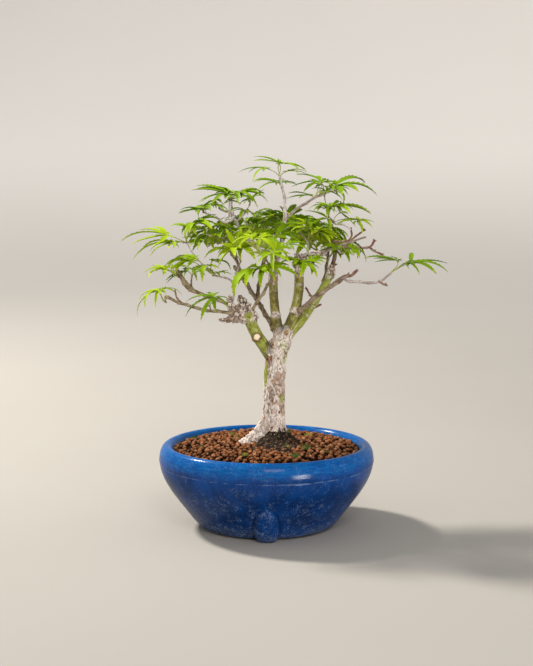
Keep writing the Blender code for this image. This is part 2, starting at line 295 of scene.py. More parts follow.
def tube(path, radii, sides):
    """A closed tube: its points, its faces, and the step and angle of each point."""
    path = np.asarray(path, float)
    radii = np.asarray(radii, float)
    if radii.ndim == 1:
        radii = np.repeat(radii[:, None], sides, axis=1)
    _, across, other = frames_along(path)
    angles = spread_evenly(sides)
    spokes = (
        across[:, None, :] * np.cos(angles)[None, :, None]
        + other[:, None, :] * np.sin(angles)[None, :, None]
    )
    rings = path[:, None, :] + spokes * radii[:, :, None]
    steps = len(path)
    points = np.concatenate([rings.reshape(-1, 3), path[:1], path[-1:]])
    faces = bands(steps, sides, flip=True)
    top = (steps - 1) * sides
    first, last = steps * sides, steps * sides + 1
    for i in range(sides):
        j = (i + 1) % sides
        faces += [(j, i, first), (top + i, top + j, last)]
    step_of = np.concatenate([np.repeat(np.arange(steps), sides), [0, steps - 1]])
    angle_of = np.concatenate([np.tile(angles, steps), [0, 0]])
    return points, faces, step_of, angle_of


def flowing(points, spacing):
    """A smooth curve through the points, sampled at about the spacing."""
    points = np.asarray(points, float)
    padded = np.concatenate([[2 * points[0] - points[1]], points, [2 * points[-1] - points[-2]]])
    made = []
    for k in range(len(points) - 1):
        a, b, c, d = padded[k : k + 4]
        count = max(2, int(ceil(np.linalg.norm(c - b) / spacing)))
        t = np.arange(count)[:, None] / count
        square, cube = 2 * a - 5 * b + 4 * c - d, 3 * b - a - 3 * c + d
        made.append(0.5 * (2 * b + (c - a) * t + square * t**2 + cube * t**3))
    return np.concatenate(made + [points[-1:]])


# ---------------------------------------------------------------- finishes


class Tone:
    """A socket that sums can be written with."""

    def __init__(self, nodes, socket):
        self.nodes, self.socket = nodes, socket

    def __add__(self, other):
        return self.nodes.math("ADD", self, other)

    def __sub__(self, other):
        return self.nodes.math("SUBTRACT", self, other)

    def __rsub__(self, other):
        return self.nodes.math("SUBTRACT", other, self)

    def __mul__(self, other):
        return self.nodes.math("MULTIPLY", self, other)

    def __truediv__(self, other):
        return self.nodes.math("DIVIDE", self, other)

    def most(self, other):
        return self.nodes.math("MAXIMUM", self, other)

    def far(self):
        return self.nodes.math("ABSOLUTE", self)

    def root(self):
        return self.nodes.math("SQRT", self)

    def split(self):
        node = self.nodes.add("ShaderNodeSeparateXYZ", None, {0: self}).socket.node
        return [Tone(self.nodes, output) for output in node.outputs]

    def band(self, low, high):
        """0 below low and 1 above high, smooth between; turned round if low is above high."""
        inputs = {"Value": self, "From Min": low, "From Max": high}
        return self.nodes.add("ShaderNodeMapRange", {"interpolation_type": "SMOOTHSTEP"}, inputs)

    def mix(self, first, second):
        """The first colour where this is 0, and the second where it is 1."""
        inputs = {0: self, 6: first, 7: second}
        return self.nodes.add("ShaderNodeMix", {"data_type": "RGBA"}, inputs, 2)

    def blend(self, low, high, first, second):
        """The first colour where this is below low, and the second where it is above high."""
        return self.band(low, high).mix(first, second)

    def noise(self, size, detail=3.0, rough=0.55, twist=0.0, along=1):
        """Clouds from 0 to 1 at this place, drawn out along Z if along is below 1."""
        inputs = {"Detail": detail, "Roughness": rough, "Distortion": twist}
        return self.pattern("ShaderNodeTexNoise", size, along, inputs)

    def cells(self, size, along=1):
        """How far this place is from the middle of its cell."""
        return self.pattern("ShaderNodeTexVoronoi", size, along, {})

    def pattern(self, kind, size, along, inputs):
        """A pattern's value at this place; its size is in millimetres."""
        place = self.nodes.vector("MULTIPLY", self, (1, 1, along))
        return self.nodes.add(kind, None, {"Vector": place, "Scale": 1 / (size * MM), **inputs})

    __radd__ = __add__
    __rmul__ = __mul__


class Nodes:
    """A node tree under construction."""

    def __init__(self, tree):
        self.tree = tree

    def feed(self, socket, value):
        """Links a tone to the socket, or sets a plain value there."""
        if isinstance(value, Tone):
            self.tree.links.new(value.socket, socket)
        else:
            socket.default_value = (*value, 1) if socket.type == "RGBA" else value

    def add(self, kind, settings=None, inputs=None, output=0):
        node = self.tree.nodes.new(kind)
        for key, value in (settings or {}).items():
            setattr(node, key, value)
        for key, value in (inputs or {}).items():
            self.feed(node.inputs[key], value)
        return Tone(self, node.outputs[output])

    def math(self, operation, *values):
        return self.add("ShaderNodeMath", {"operation": operation}, dict(enumerate(values)))

    def vector(self, operation, *values, **named):
        inputs = {**dict(enumerate(values)), **named}
        return self.add("ShaderNodeVectorMath", {"operation": operation}, inputs)


class Finish(Nodes):
    """A procedural material, written as sums of its patterns."""

    def __init__(self, name, **constants):
        self.material = bpy.data.materials.new(name)
        self.material.use_nodes = True
        super().__init__(self.material.node_tree)
        self.set(**constants)

    def set(self, **inputs):
        shader = self.tree.nodes["Principled BSDF"]
        for socket, value in inputs.items():
            self.feed(shader.inputs[socket.replace("_", " ")], value)

    def place(self):
        return self.add("ShaderNodeTexCoord", output="Object")

    def value_of(self, name, output="Fac"):
        return self.add("ShaderNodeAttribute", {"attribute_name": name}, output=output)

    def bump(self, height, depth, strength, under=None):
        """Bumps as deep as given, in millimetres, on top of those under them."""
        inputs = {"Height": height, "Distance": depth * MM, "Strength": strength}
        if under is not None:
            inputs["Normal"] = under
        return self.add("ShaderNodeBump", None, inputs)


def make_glaze():
    """Cobalt glaze: azure over the rolled rim, deep on the body, with mineral bloom low down."""
    glaze = Finish("cobalt_glaze", Coat_Roughness=0.14, Specular_IOR_Level=0.02)
    here = glaze.place()
    level = here.split()[2] / MM
    clouds = here.noise(24, 4, 0.6, 0.4)
    fine = here.noise(2.0, 4, 0.65)
    streaks = here.noise(10, 5, 0.62, 0.8, along=6)

    deep = clouds.blend(0.34, 0.66, (0.001, 0.019, 0.090), (0.001, 0.036, 0.168))
    shoulder = clouds.blend(0.36, 0.62, (0.004, 0.034, 0.155), (0.007, 0.055, 0.235))
    azure = streaks.blend(0.36, 0.66, (0.001, 0.062, 0.25), (0.001, 0.108, 0.36))
    colour = (level + (streaks - 0.5) * 8).blend(44, 62, deep, shoulder)
    colour = (level + (streaks - 0.5) * 9).blend(62.5, 70.5, colour, azure)

    # Thin violet haze where the glaze is worn dull, and long pale wipes on the rim
    haze = here.noise(30, 5, 0.62, 0.7).band(0.50, 0.74)
    colour = (haze * level.band(70, 54) * 0.28).mix(colour, (0.014, 0.036, 0.115))
    wipes = here.noise(7, 5, 0.7, 0.4, along=9).band(0.56, 0.70)
    colour = (wipes * level.band(62, 68) * 0.40).mix(colour, (0.04, 0.20, 0.46))

    # White mineral bloom, veins and specks, densest at the base and round the feet
    nearness = level.band(60, 4) * 0.80 + 0.20
    ground = here.noise(12, 5, 0.62, 1.3)
    veins = (ground - 0.5).far().band(0.016, 0.003)
    veins = veins * here.noise(8, 4, 0.7).band(0.46, 0.60)
    bloom = here.noise(9, 6, 0.7, 0.5).band(0.52, 0.70)
    grit = here.noise(0.8, 3, 0.7).band(0.50, 0.66)
    specks = here.cells(1.9).band(0.20, 0.12)
    specks = specks * here.noise(3.4, 3).band(0.52, 0.60)
    low = (level + (clouds - 0.5) * 24).band(17, 3)
    mineral = (veins * 0.85).most(bloom * grit * 0.8).most(specks * 0.9) * nearness
    mineral = mineral.most(low * grit * 0.9).most(low * bloom * 0.6)
    line = (level - GROOVE_HEIGHT / MM).far().band(0.62, 0.15)
    mineral = mineral.most(line * here.noise(11, 4, 0.7).band(0.42, 0.58) * 0.34)
    colour = (mineral * 0.68).mix(colour, (0.40, 0.52, 0.70))

    # Scratches, and chips down to the orange clay
    scratch = here.noise(3.4, 2, along=0.1)
    scratch = (scratch - 0.5).far().band(0.007, 0.001)
    scratch = scratch * here.noise(15, 2).band(0.54, 0.66)
    colour = (scratch * 0.4).mix(colour, (0.25, 0.33, 0.48))
    chips = here.cells(10, along=0.55) + (fine - 0.5) * 0.22
    chips = chips.band(0.085, 0.050) * here.noise(26, 1).band(0.55, 0.58)
    colour = (chips * 0.9).mix(colour, (0.30, 0.125, 0.055))

    rough = 0.30 + haze * 0.12 + (fine - 0.5) * 0.16 + mineral * 0.3 + chips * 0.4
    bumps = glaze.bump(streaks * 0.5 + clouds * 0.6 + fine * 0.12, 0.9, 0.4)
    bumps = glaze.bump(mineral + chips * -1.5, 0.10, 0.6, bumps)
    coat = (1 - mineral) * (1 - chips) * 0.21
    glaze.set(Base_Color=colour, Roughness=rough, Coat_Weight=coat, Normal=bumps)
    return glaze.material


def make_clay(name, main, light, dark):
    """Crumbly fired clay; each granule differs from its neighbours, and clay lying low between them
    is darkened with painted shade.
    """
    clay = Finish(name, Specular_IOR_Level=0.05)
    here = clay.place()
    x, y, z = here.split()
    reach = (x * x + y * y).root()
    slope = (SOIL_EDGE_HEIGHT - SOIL_CROWN_HEIGHT) / (SOIL_RADIUS - SOIL_PLATEAU_RADIUS)
    depth = z - SOIL_CROWN_HEIGHT - (reach - SOIL_PLATEAU_RADIUS).most(0.0) * slope
    depth = depth + reach.band(*SINKING) * 2.4 * MM
    patch = here.noise(5, 1, 0.5)
    grain = here.noise(0.8, 4, 0.7)
    colour = patch.blend(0.36, 0.64, main, light)
    colour = (grain.band(0.52, 0.34) * 0.8).mix(colour, dark)
    # Painted shade: clay lying low in the gaps between the granules is darkened nearly to black
    colour = (depth.band(2.5 * MM, 0.0) * 0.95).mix(colour, (0.010, 0.004, 0.002))
    bumps = clay.bump(grain, 0.5, 0.9)
    clay.set(Base_Color=colour, Roughness=0.86 + grain * 0.12, Normal=bumps)
    return clay.material


def make_bed():
    bed = Finish("damp_bed", Specular_IOR_Level=0.2)
    here = bed.place()
    crumbs = here.noise(2.2, 5, 0.7)
    # Near-black soil under the granules: painted shade showing in the gaps between them
    colour = crumbs.blend(0.4, 0.7, (0.006, 0.003, 0.002), (0.040, 0.015, 0.007))
    bumps = bed.bump(crumbs, 1.2, 1.0)
    bed.set(Base_Color=colour, Roughness=0.9 + crumbs * 0.05, Normal=bumps)
    return bed.material


def make_bark():
    """Old bark turning to smooth green shoots, with lichen, scars, dark cracks and painted shade."""
    bark = Finish("maple_bark", Specular_IOR_Level=0.10)
    grain = bark.value_of("grain", "Vector")
    green, crack_and_shade = bark.value_of("green"), bark.value_of("crack_and_shade")
    pale, moss, crust = bark.value_of("pale"), bark.value_of("moss"), bark.value_of("crust")
    tanned, cut = bark.value_of("tan"), bark.value_of("cut")
    broad = grain.noise(8, 3, 0.6, 0.3)
    fine = grain.noise(0.9, 5, 0.72, along=0.3)
    mottle = grain.noise(2.8, 5, 0.72, 0.5, along=0.55)
    blotch = grain.noise(3.6, 4, 0.65, 1.0, along=0.7)

    old = mottle.blend(0.38, 0.60, (0.25, 0.165, 0.12), (0.60, 0.45, 0.36))
    old = (broad.band(0.48, 0.64) * tanned).mix(old, (0.43, 0.245, 0.155))
    old = (blotch.band(0.54, 0.60) * (0.6 - tanned * 0.45)).mix(old, (0.40, 0.385, 0.35))
    white = crust * fine.band(0.30, 0.52)
    old = (white * 0.78).mix(old, (0.88, 0.82, 0.77))
    old = (fine.band(0.42, 0.30) * 0.8).mix(old, (0.085, 0.055, 0.038))

    young = mottle.blend(0.38, 0.60, (0.19, 0.225, 0.030), (0.36, 0.40, 0.080))
    wooded = mottle.blend(0.38, 0.60, (0.19, 0.150, 0.040), (0.40, 0.33, 0.115))
    young = tanned.mix(young, wooded)
    cream = grain.noise(4.5, 4, 0.62, 0.4, along=0.22)
    young = (cream.band(0.52, 0.68) * 0.5).mix(young, (0.70, 0.66, 0.40))
    specks = grain.noise(2, 5, 0.7, along=0.6).band(0.58, 0.66)
    young = (specks * 0.6).mix(young, (0.20, 0.13, 0.06))
    young = (fine.band(0.36, 0.27) * 0.4).mix(young, (0.11, 0.085, 0.035))

    colour = (green + (mottle - 0.5) * 1.1).blend(0.34, 0.56, old, young)
    worn = pale * (mottle + pale * 0.35).band(0.42, 0.62)
    whitish = fine.blend(0.4, 0.6, (0.55, 0.44, 0.37), (0.92, 0.86, 0.80))
    colour = (worn * 0.9).mix(colour, whitish)
    fresh = (cut + (fine - 0.5) * 0.4).band(0.22, 0.62)
    sawn = fresh.mix((0.36, 0.19, 0.09), (0.98, 0.86, 0.62))
    colour = cut.blend(0.04, 0.12, colour, sawn)
    # Painted shade: fissures, creases, gaps between scales and the stems' shaded sides are darkened
    # here, along with the dark inner bark of the cracks
    colour = (crack_and_shade * 0.92).mix(colour, (0.040, 0.026, 0.017))
    soot = fine.blend(0.48, 0.66, (0.012, 0.010, 0.008), (0.075, 0.055, 0.035))
    soot = (broad.band(0.55, 0.68) * 0.4).mix(soot, (0.055, 0.065, 0.015))
    colour = (moss + (mottle - 0.5) * 0.5).blend(0.34, 0.50, colour, soot)
    bumps = bark.bump(fine + mottle * 0.6, 0.55, 0.85)
    bark.set(Base_Color=colour, Roughness=0.84 - green * 0.20 + crack_and_shade * 0.1, Normal=bumps)
    return bark.material


def make_twig_bark():
    """Thin wood: green, then grey-brown or lilac, with tan rings at the nodes and red tips."""
    wood = Finish("twig_bark", Specular_IOR_Level=0.15)
    grain = wood.value_of("grain", "Vector")
    tone = wood.value_of("tone")
    ring = wood.value_of("ring")
    tip = wood.value_of("tip")
    fine = grain.noise(0.7, 4, 0.7, along=0.3)
    mottle = grain.noise(2.6, 4, 0.65, 0.5, along=0.5)
    green = mottle.blend(0.38, 0.64, (0.24, 0.20, 0.085), (0.60, 0.50, 0.30))
    brown = mottle.blend(0.36, 0.62, (0.12, 0.078, 0.055), (0.35, 0.26, 0.19))
    lilac = mottle.blend(0.38, 0.62, (0.48, 0.38, 0.40), (0.93, 0.88, 0.91))
    colour = tone.blend(0.1, 0.5, green, brown)
    colour = tone.blend(0.5, 0.95, colour, lilac)
    colour = (fine.band(0.44, 0.30) * 0.75).mix(colour, (0.05, 0.032, 0.024))
    colour = (ring * 0.6).mix(colour, (0.46, 0.36, 0.25))
    colour = (tip * 0.8).mix(colour, (0.20, 0.055, 0.035))
    bumps = wood.bump(fine + mottle * 0.4, 0.25, 0.7)
    wood.set(Base_Color=colour, Roughness=0.62 + fine * 0.2, Normal=bumps)
    return wood.material


def make_leaf(name, colour):
    """One plain leaf tint; only its gloss and its fine veining vary."""
    leaf = Finish(name, Base_Color=colour, Specular_IOR_Level=0.04)
    veins = leaf.place().noise(0.9, 2, 0.5)
    leaf.set(Roughness=0.44 + veins * 0.12, Normal=leaf.bump(veins, 0.12, 0.5))
    return leaf.material


def make_plain(name, colour, rough, size, depth):
    """A small soft thing of one colour with a slight mottle."""
    plain = Finish(name, Specular_IOR_Level=0.15)
    grain = plain.place().noise(size, 3, 0.6)
    darker = tuple(0.6 * c for c in colour)
    mottled = grain.blend(0.35, 0.65, darker, colour)
    bumps = plain.bump(grain, depth, 0.6)
    plain.set(Base_Color=mottled, Roughness=rough + grain * 0.1, Normal=bumps)
    return plain.material


# ---------------------------------------------------------------- bowl


def outer_radius(height):
    share = max((height - BASE_LIFT) / (BELLY_HEIGHT - BASE_LIFT), 0)
    return BASE_RADIUS + (BELLY_RADIUS - BASE_RADIUS) * sin(pi / 2 * share**POT_SWELL)


def inner_radius(height):
    if height >= BELLY_HEIGHT:
        share = min((height - BELLY_HEIGHT) / (POT_HEIGHT - BELLY_HEIGHT), 1)
        return BELLY_RADIUS - RIM_HALF_WIDTH * (1 + sqrt(1 - share * share))
    wall = outer_radius(height) - POT_WALL
    lip = BELLY_RADIUS - 2 * RIM_HALF_WIDTH
    blend = min(max((height - UNDERCUT_HEIGHT) / (BELLY_HEIGHT - UNDERCUT_HEIGHT), 0), 1)
    return wall + (lip - wall) * blend


def foot_swell(share):
    """How wide the egg of the foot is at a share of its height."""
    if share < FOOT_WIDEST:
        return 1 - (1 - share / FOOT_WIDEST) ** 2 * 0.30
    return sqrt(max(1 - ((share - FOOT_WIDEST) / (1 - FOOT_WIDEST)) ** 2.2, 0))


def bowl_profile():
    """(radius, height) from the middle of the inside, over the rim, to the middle beneath."""
    floor_radius = inner_radius(POT_FLOOR) - POT_WALL
    rows = [(floor_radius * share, POT_FLOOR) for share in (0.02, 0.3, 0.6, 0.85, 1.0)]
    rows += [(inner_radius(z), z) for z in np.linspace(POT_FLOOR + POT_WALL, BELLY_HEIGHT, 12)]
    middle = BELLY_RADIUS - RIM_HALF_WIDTH
    rise = POT_HEIGHT - BELLY_HEIGHT
    for angle in np.radians(np.linspace(180, 0, 29)[1:-1]):
        rows.append((middle + RIM_HALF_WIDTH * cos(angle), BELLY_HEIGHT + rise * sin(angle)))
    # Closest together at the groove, and again over the feet
    stretches = ((BELLY_HEIGHT, 61 * MM, 6), (61 * MM, 56 * MM, 15), (56 * MM, 37 * MM, 12))
    heights = [np.linspace(*stretch)[:-1] for stretch in stretches]
    for z in np.concatenate(heights + [np.linspace(37 * MM, BASE_LIFT, 46)]):
        groove = bell((z - GROOVE_HEIGHT) / GROOVE_HALF_WIDTH)
        rounding = BASE_ROUNDING * max(1 - z / (3 * BASE_ROUNDING), 0) ** 2
        shoulder = bell((z - GROOVE_HEIGHT - 3 * MM) / (2.2 * MM))
        rows.append((outer_radius(z) - GROOVE_DEPTH * groove + 0.3 * MM * shoulder - rounding, z))
    last = rows[-1][0]
    for share in (0.85, 0.6, 0.3, 0.0):
        rows.append((UNDERSIDE_RADIUS + (last - UNDERSIDE_RADIUS) * share, BASE_LIFT * share**1.6))
    rows += [(UNDERSIDE_RADIUS * share, 0) for share in (0.75, 0.5, 0.25, 0.02)]
    return np.array(rows)


def bowl_angles():
    """Angles round the bowl, closer together over each foot."""
    angles = []
    for middle in (30, 150, 270):
        angles += list(np.linspace(middle - 13, middle + 13, 61)[:-1])
        angles += list(np.linspace(middle + 13, middle + 107, 59)[:-1])
    return np.radians(np.array(angles))


def make_bowl():
    rows = bowl_profile()
    angles = bowl_angles()
    count = len(angles)
    radius, height = (np.repeat(rows[:, k : k + 1], count, axis=1) for k in (0, 1))
    rim_row = int(np.argmax(rows[:, 1]))
    for azimuth in FOOT_AZIMUTHS:
        off = (angles - radians(azimuth) + pi) % tau - pi
        beside = np.abs(off) < 0.5
        for k in range(rim_row, len(rows)):
            wall, z = rows[k]
            if z > FOOT_HEIGHT * 0.999 or wall < UNDERSIDE_RADIUS:
                continue
            share = z / FOOT_HEIGHT
            tuck = sqrt(1 - max(1 - z / (5 * MM), 0) ** 2 * 0.19)
            width = FOOT_HALF_WIDTH * foot_swell(share) * tuck
            proud = FOOT_PROUD * sqrt(1 - share**2.4) * (1 - 0.35 * share) * tuck
            across = np.abs(wall * np.sin(off)) / max(width, 0.1 * MM)
            dome = np.sqrt(1 - np.clip(across, 0, 1) ** 2.4) * beside
            trench = bell(np.clip(across - 1.06, 0, None) * width / (1.1 * MM))
            radius[k] -= 1.1 * MM * trench * (across > 1) * beside * (z > BASE_LIFT)
            inward = 1.0
            if z < BASE_LIFT:
                inward = (wall - UNDERSIDE_RADIUS) / (BASE_RADIUS - UNDERSIDE_RADIUS)
                height[k] = height[k] * (1 - smooth_step(dome, 0.0, 0.35))
            radius[k] += proud * dome * inward
    spots = circle(radius, angles, height)
    wobble = noise_at(spots.reshape(-1, 3), 30, 2).reshape(radius.shape)
    outside = np.arange(len(rows)) >= rim_row - 10
    swell = np.where(outside[:, None] & (height > BASE_LIFT), wobble * 0.22 * MM, 0)
    heap = Heap()
    points = circle(radius + swell, angles, height).reshape(-1, 3)
    heap.add(points, bands(len(rows), count) + ends(len(rows), count))
    return add_piece("bowl", heap.mesh("bowl", [make_glaze()]))


# ---------------------------------------------------------------- soil


def soil_height(radius):
    share = np.clip((radius - SOIL_PLATEAU_RADIUS) / (SOIL_RADIUS - SOIL_PLATEAU_RADIUS), 0, 1)
    return SOIL_CROWN_HEIGHT + (SOIL_EDGE_HEIGHT - SOIL_CROWN_HEIGHT) * share


def make_bed_piece():
    """The soil's body: an uneven near-black top, painted shade for the gaps between the granules,
    with the bowl's own hollow under it.
    """
    count = 96
    angles = spread_evenly(count)
    innermost, gap = 0.6 * MM, 0.5 * MM
    rows = [(r, None) for r in np.linspace(innermost, 88.6 * MM, 34)]
    heights = np.linspace(SOIL_EDGE_HEIGHT - 1 * MM, POT_FLOOR + POT_WALL, 10)
    rows += [(inner_radius(z) - gap, z) for z in heights]
    floor_radius, floor = inner_radius(POT_FLOOR) - POT_WALL - gap, POT_FLOOR + 0.4 * MM
    rows += [(floor_radius, floor), (innermost, floor)]
    points = []
    for r, z in rows:
        ring = circle(r, angles)
        if z is None:
            lumps = noise_at(ring, 5, 4, 3) * 0.9 * MM
            z = soil_height(np.full(count, r)) - 2.4 * MM + lumps
        ring[:, 2] = z
        points.append(ring)
    first, last = ends(len(rows), count)
    heap = Heap()
    heap.add(np.concatenate(points), [first] + bands(len(rows), count) + [last])
    return add_piece("soil_bed", heap.mesh("soil_bed", [make_bed()]))


class Rule(Nodes):
    """A Geometry Nodes tree that strews a shape over a surface."""

    def __init__(self, name, **sockets):
        super().__init__(bpy.data.node_groups.new(name, "GeometryNodeTree"))
        face = self.tree.interface
        face.new_socket("Geometry", in_out="INPUT", socket_type="NodeSocketGeometry")
        for label, kind in sockets.items():
            face.new_socket(label, in_out="INPUT", socket_type="NodeSocket" + kind)
        face.new_socket("Geometry", in_out="OUTPUT", socket_type="NodeSocketGeometry")
        self.start = self.tree.nodes.new("NodeGroupInput")
        self.end = self.tree.nodes.new("NodeGroupOutput")

    def given(self, label):
        return Tone(self, self.start.outputs[label])

    def each_way(self, value):
        return self.add("ShaderNodeCombineXYZ", None, {i: value for i in range(3)})

    def spots(self, crowding):
        """Points over the surface, no closer than the spacing; crowding is per square metre."""
        inputs = {"Mesh": self.given("Geometry"), "Distance Min": self.given("Spacing")}
        inputs.update({"Density Max": crowding, "Seed": self.given("Seed")})
        kind = "GeometryNodeDistributePointsOnFaces"
        return self.add(kind, {"distribute_method": "POISSON"}, inputs)

    def chance(self, kind, low, high, seed):
        """A random number or vector of each point's own."""
        first, output = (0, 0) if kind == "FLOAT_VECTOR" else (2, 1)
        inputs = {first: low, first + 1: high, "Seed": seed}
        return self.add("FunctionNodeRandomValue", {"data_type": kind}, inputs, output)

    def strew(self, spots, shape, turn, size):
        inputs = {"Points": spots, "Instance": shape, "Rotation": turn, "Scale": size}
        return self.add("GeometryNodeInstanceOnPoints", None, inputs)

    def solid(self, geometry):
        return self.add("GeometryNodeRealizeInstances", None, {0: geometry})

    def moved(self, geometry, offset):
        return self.add("GeometryNodeSetPosition", None, {"Geometry": geometry, "Offset": offset})

    def finish(self, geometry):
        inputs = {0: geometry, "Material": self.given("Material")}
        self.feed(self.end.inputs[0], self.add("GeometryNodeSetMaterial", None, inputs))
        return self.tree


def granule_rule():
    """Rounded, chipped crumbs strewn over a surface, no two alike."""
    lengths = dict.fromkeys(("Spacing", "Smallest", "Largest", "Depth"), "Float")
    rule = Rule("granules", **lengths, Seed="Int", Material="Material")
    drop = rule.chance("FLOAT", rule.given("Depth"), 0.0, 7)
    spots = rule.moved(rule.spots(300000.0), rule.add("ShaderNodeCombineXYZ", None, {2: drop}))
    stone = rule.add("GeometryNodeMeshIcoSphere", None, {"Radius": 0.5, "Subdivisions": 2})
    turn = rule.chance("FLOAT_VECTOR", (0, 0, 0), (tau, tau, tau), 11)
    low, high = (rule.each_way(rule.given(label)) for label in ("Smallest", "Largest"))
    size = rule.chance("FLOAT_VECTOR", low, high, 13)
    solid = rule.solid(rule.strew(spots, stone, turn, size))
    field = rule.add("ShaderNodeTexNoise", None, {"Scale": 430.0, "Detail": 2.0}, 1)
    push = rule.vector("SCALE", rule.vector("SUBTRACT", field, (0.5, 0.5, 0.5)), Scale=3.0 * MM)
    return rule.finish(rule.moved(solid, push))


def blade_rule(name):
    """Short pointed moss blades standing up from a surface, and the surface itself."""
    rule = Rule(name, Spacing="Float", Height="Float", Seed="Int", Material="Material")
    shape = {"Vertices": 4, "Radius Top": 0.0, "Radius Bottom": 0.13, "Depth": 1.0}
    blade = rule.add("GeometryNodeMeshCone", None, shape)
    turn = rule.chance("FLOAT_VECTOR", (-0.7, -0.7, 0), (0.7, 0.7, tau), 3)
    size = rule.chance("FLOAT", 0.6, 1.2, 5) * rule.given("Height")
    both = rule.add("GeometryNodeJoinGeometry")
    for geometry in (rule.strew(rule.spots(4000000.0), blade, turn, size), rule.given("Geometry")):
        rule.feed(both.socket.node.inputs[0], geometry)
    return rule.finish(rule.solid(both))


def strewn_piece(name, rule, ground, material, lengths, seed):
    """What the rule strews over the ground, as a plain mesh of its own; lengths in millimetres."""
    given = {"Material": material, "Seed": seed}
    given.update((label, length * MM) for label, length in lengths.items())
    source = add_piece(name + "_ground", ground)
    grown = source.modifiers.new("Strewn", "NODES")
    grown.node_group = rule
    for item in rule.interface.items_tree:
        if item.item_type == "SOCKET" and item.in_out == "INPUT" and item.name in given:
            grown[item.identifier] = given[item.name]
    mesh = evaluated_mesh(source)
    mesh.name = name
    return add_piece(name, mesh)


def ground_disc(reach, lift, seed):
    """The soil's uneven top, out to a radius."""
    count, rings = 64, 22
    angles = spread_evenly(count)
    points = []
    for r in np.linspace(0.5 * MM, reach, rings):
        ring = circle(r, angles)
        sunk = 2.6 * MM * smooth_step(r, *SINKING)
        lumps = noise_at(ring, 14, seed, 2) * 1.1 * MM
        ring[:, 2] = soil_height(np.full(count, r)) + lift - sunk + lumps
        points.append(ring)
    heap = Heap()
    heap.add(np.concatenate(points), bands(rings, count))
    return heap.mesh("ground", [])


# name, spacing, smallest and largest size, depth, seed, darker and lighter clay.
CLAYS = (
    # The dark granules lie lowest: partly darker clay, partly painted shade deep in the gaps
    ("granules_dark", 4.4, 3.2, 5.2, -3.2, 9, (0.13, 0.045, 0.018), (0.20, 0.074, 0.030)),
    ("granules_red", 5.2, 3.6, 5.8, -0.8, 21, (0.30, 0.110, 0.042), (0.42, 0.17, 0.072)),
    ("granules_tan", 8.5, 2.4, 5.4, 0.6, 5, (0.34, 0.14, 0.060), (0.50, 0.24, 0.125)),
)


def make_granules():
    rule = granule_rule()
    pieces = []
    for name, spacing, small, large, depth, seed, main, light in CLAYS:
        material = make_clay(name + "_clay", main, light, (0.030, 0.011, 0.006))
        ground = ground_disc(85.6 * MM, 0.2 * MM, 6)
        lengths = {"Spacing": spacing, "Smallest": small, "Largest": large, "Depth": depth}
        pieces.append(strewn_piece(name, rule, ground, material, lengths, seed))
    return pieces


# Azimuth, distance from the bowl's middle and radius of each tuft of moss, the dark ones first.
TUFTS = (
    (
        (323, 45.5, 5.6), (294, 64, 4.6), (157, 76, 3.4), (196, 63, 2.6), (98, 30, 7.0),
        (70, 60, 4.5), (325, 67, 3.0),
    ),
    ((301, 37, 4.4), (39, 52, 4.4), (152, 33, 2.8), (250, 57, 3.0), (130, 52, 3.6)),
)
MOSS_TINTS = ((0.085, 0.125, 0.020), (0.26, 0.27, 0.045))


def add_mound(heap, middle, size, seed):
    """A low uneven dome."""
    sides, rings, height = 18, 6, size * 0.42
    points = [middle + UP * height]
    faces = []
    for k in range(1, rings + 1):
        share = k / rings
        for angle in spread_evenly(sides):
            bulge = 1 + 0.35 * noise.noise(Vector((cos(angle) * 2, sin(angle) * 2, seed)))
            r = size * share * bulge
            z = height * (1 - share**2) - 0.8 * MM * (k == rings)
            points.append(middle + np.array((r * cos(angle), r * sin(angle), z)))
    for i in range(sides):
        j = (i + 1) % sides
        faces.append((0, 1 + i, 1 + j))
        for low in range(1, 1 + (rings - 1) * sides, sides):
            high = low + sides
            faces.append((low + i, high + i, high + j, low + j))
    last = 1 + (rings - 1) * sides
    faces.append(tuple(reversed(range(last, last + sides))))
    points = np.array(points)
    points[:, 2] += noise_at(points, 2.2, seed, 2) * 0.5 * MM
    heap.add(points, faces)


def make_moss():
    pieces = []
    for k, (tufts, tint) in enumerate(zip(TUFTS, MOSS_TINTS), 1):
        heap = Heap()
        for azimuth, reach, size in tufts:
            middle = heading(azimuth, 0) * (reach * MM)
            middle[2] = soil_height(reach * MM) + 0.8 * MM
            add_mound(heap, middle, size * MM, azimuth)
        name = f"moss_{k}"
        moss = make_plain(name, tint, 0.8, 3, 0.2)
        lengths = {"Spacing": 0.75, "Height": 2.0}
        ground = heap.mesh("mounds", [])
        pieces.append(strewn_piece(name, blade_rule(name), ground, moss, lengths, 4))
    return pieces


# The black humus banked up in front of the trunk: middle, half sizes and height.
HUMUS_MIDDLE = np.array((9, -24)) * MM
HUMUS_HALF = np.array((25, 27)) * MM
HUMUS_BANK = 12 * MM


def make_humus_finish():
    humus = Finish("black_humus", Specular_IOR_Level=0.15)
    crumb = humus.place().noise(1.6, 5, 0.72)
    patch = humus.place().noise(8, 3, 0.6)
    colour = crumb.blend(0.46, 0.66, (0.007, 0.005, 0.004), (0.075, 0.052, 0.034))
    colour = (patch.band(0.55, 0.66) * 0.5).mix(colour, (0.050, 0.060, 0.018))
    humus.set(Base_Color=colour, Roughness=0.92, Normal=humus.bump(crumb, 0.8, 0.9))
    return humus.material


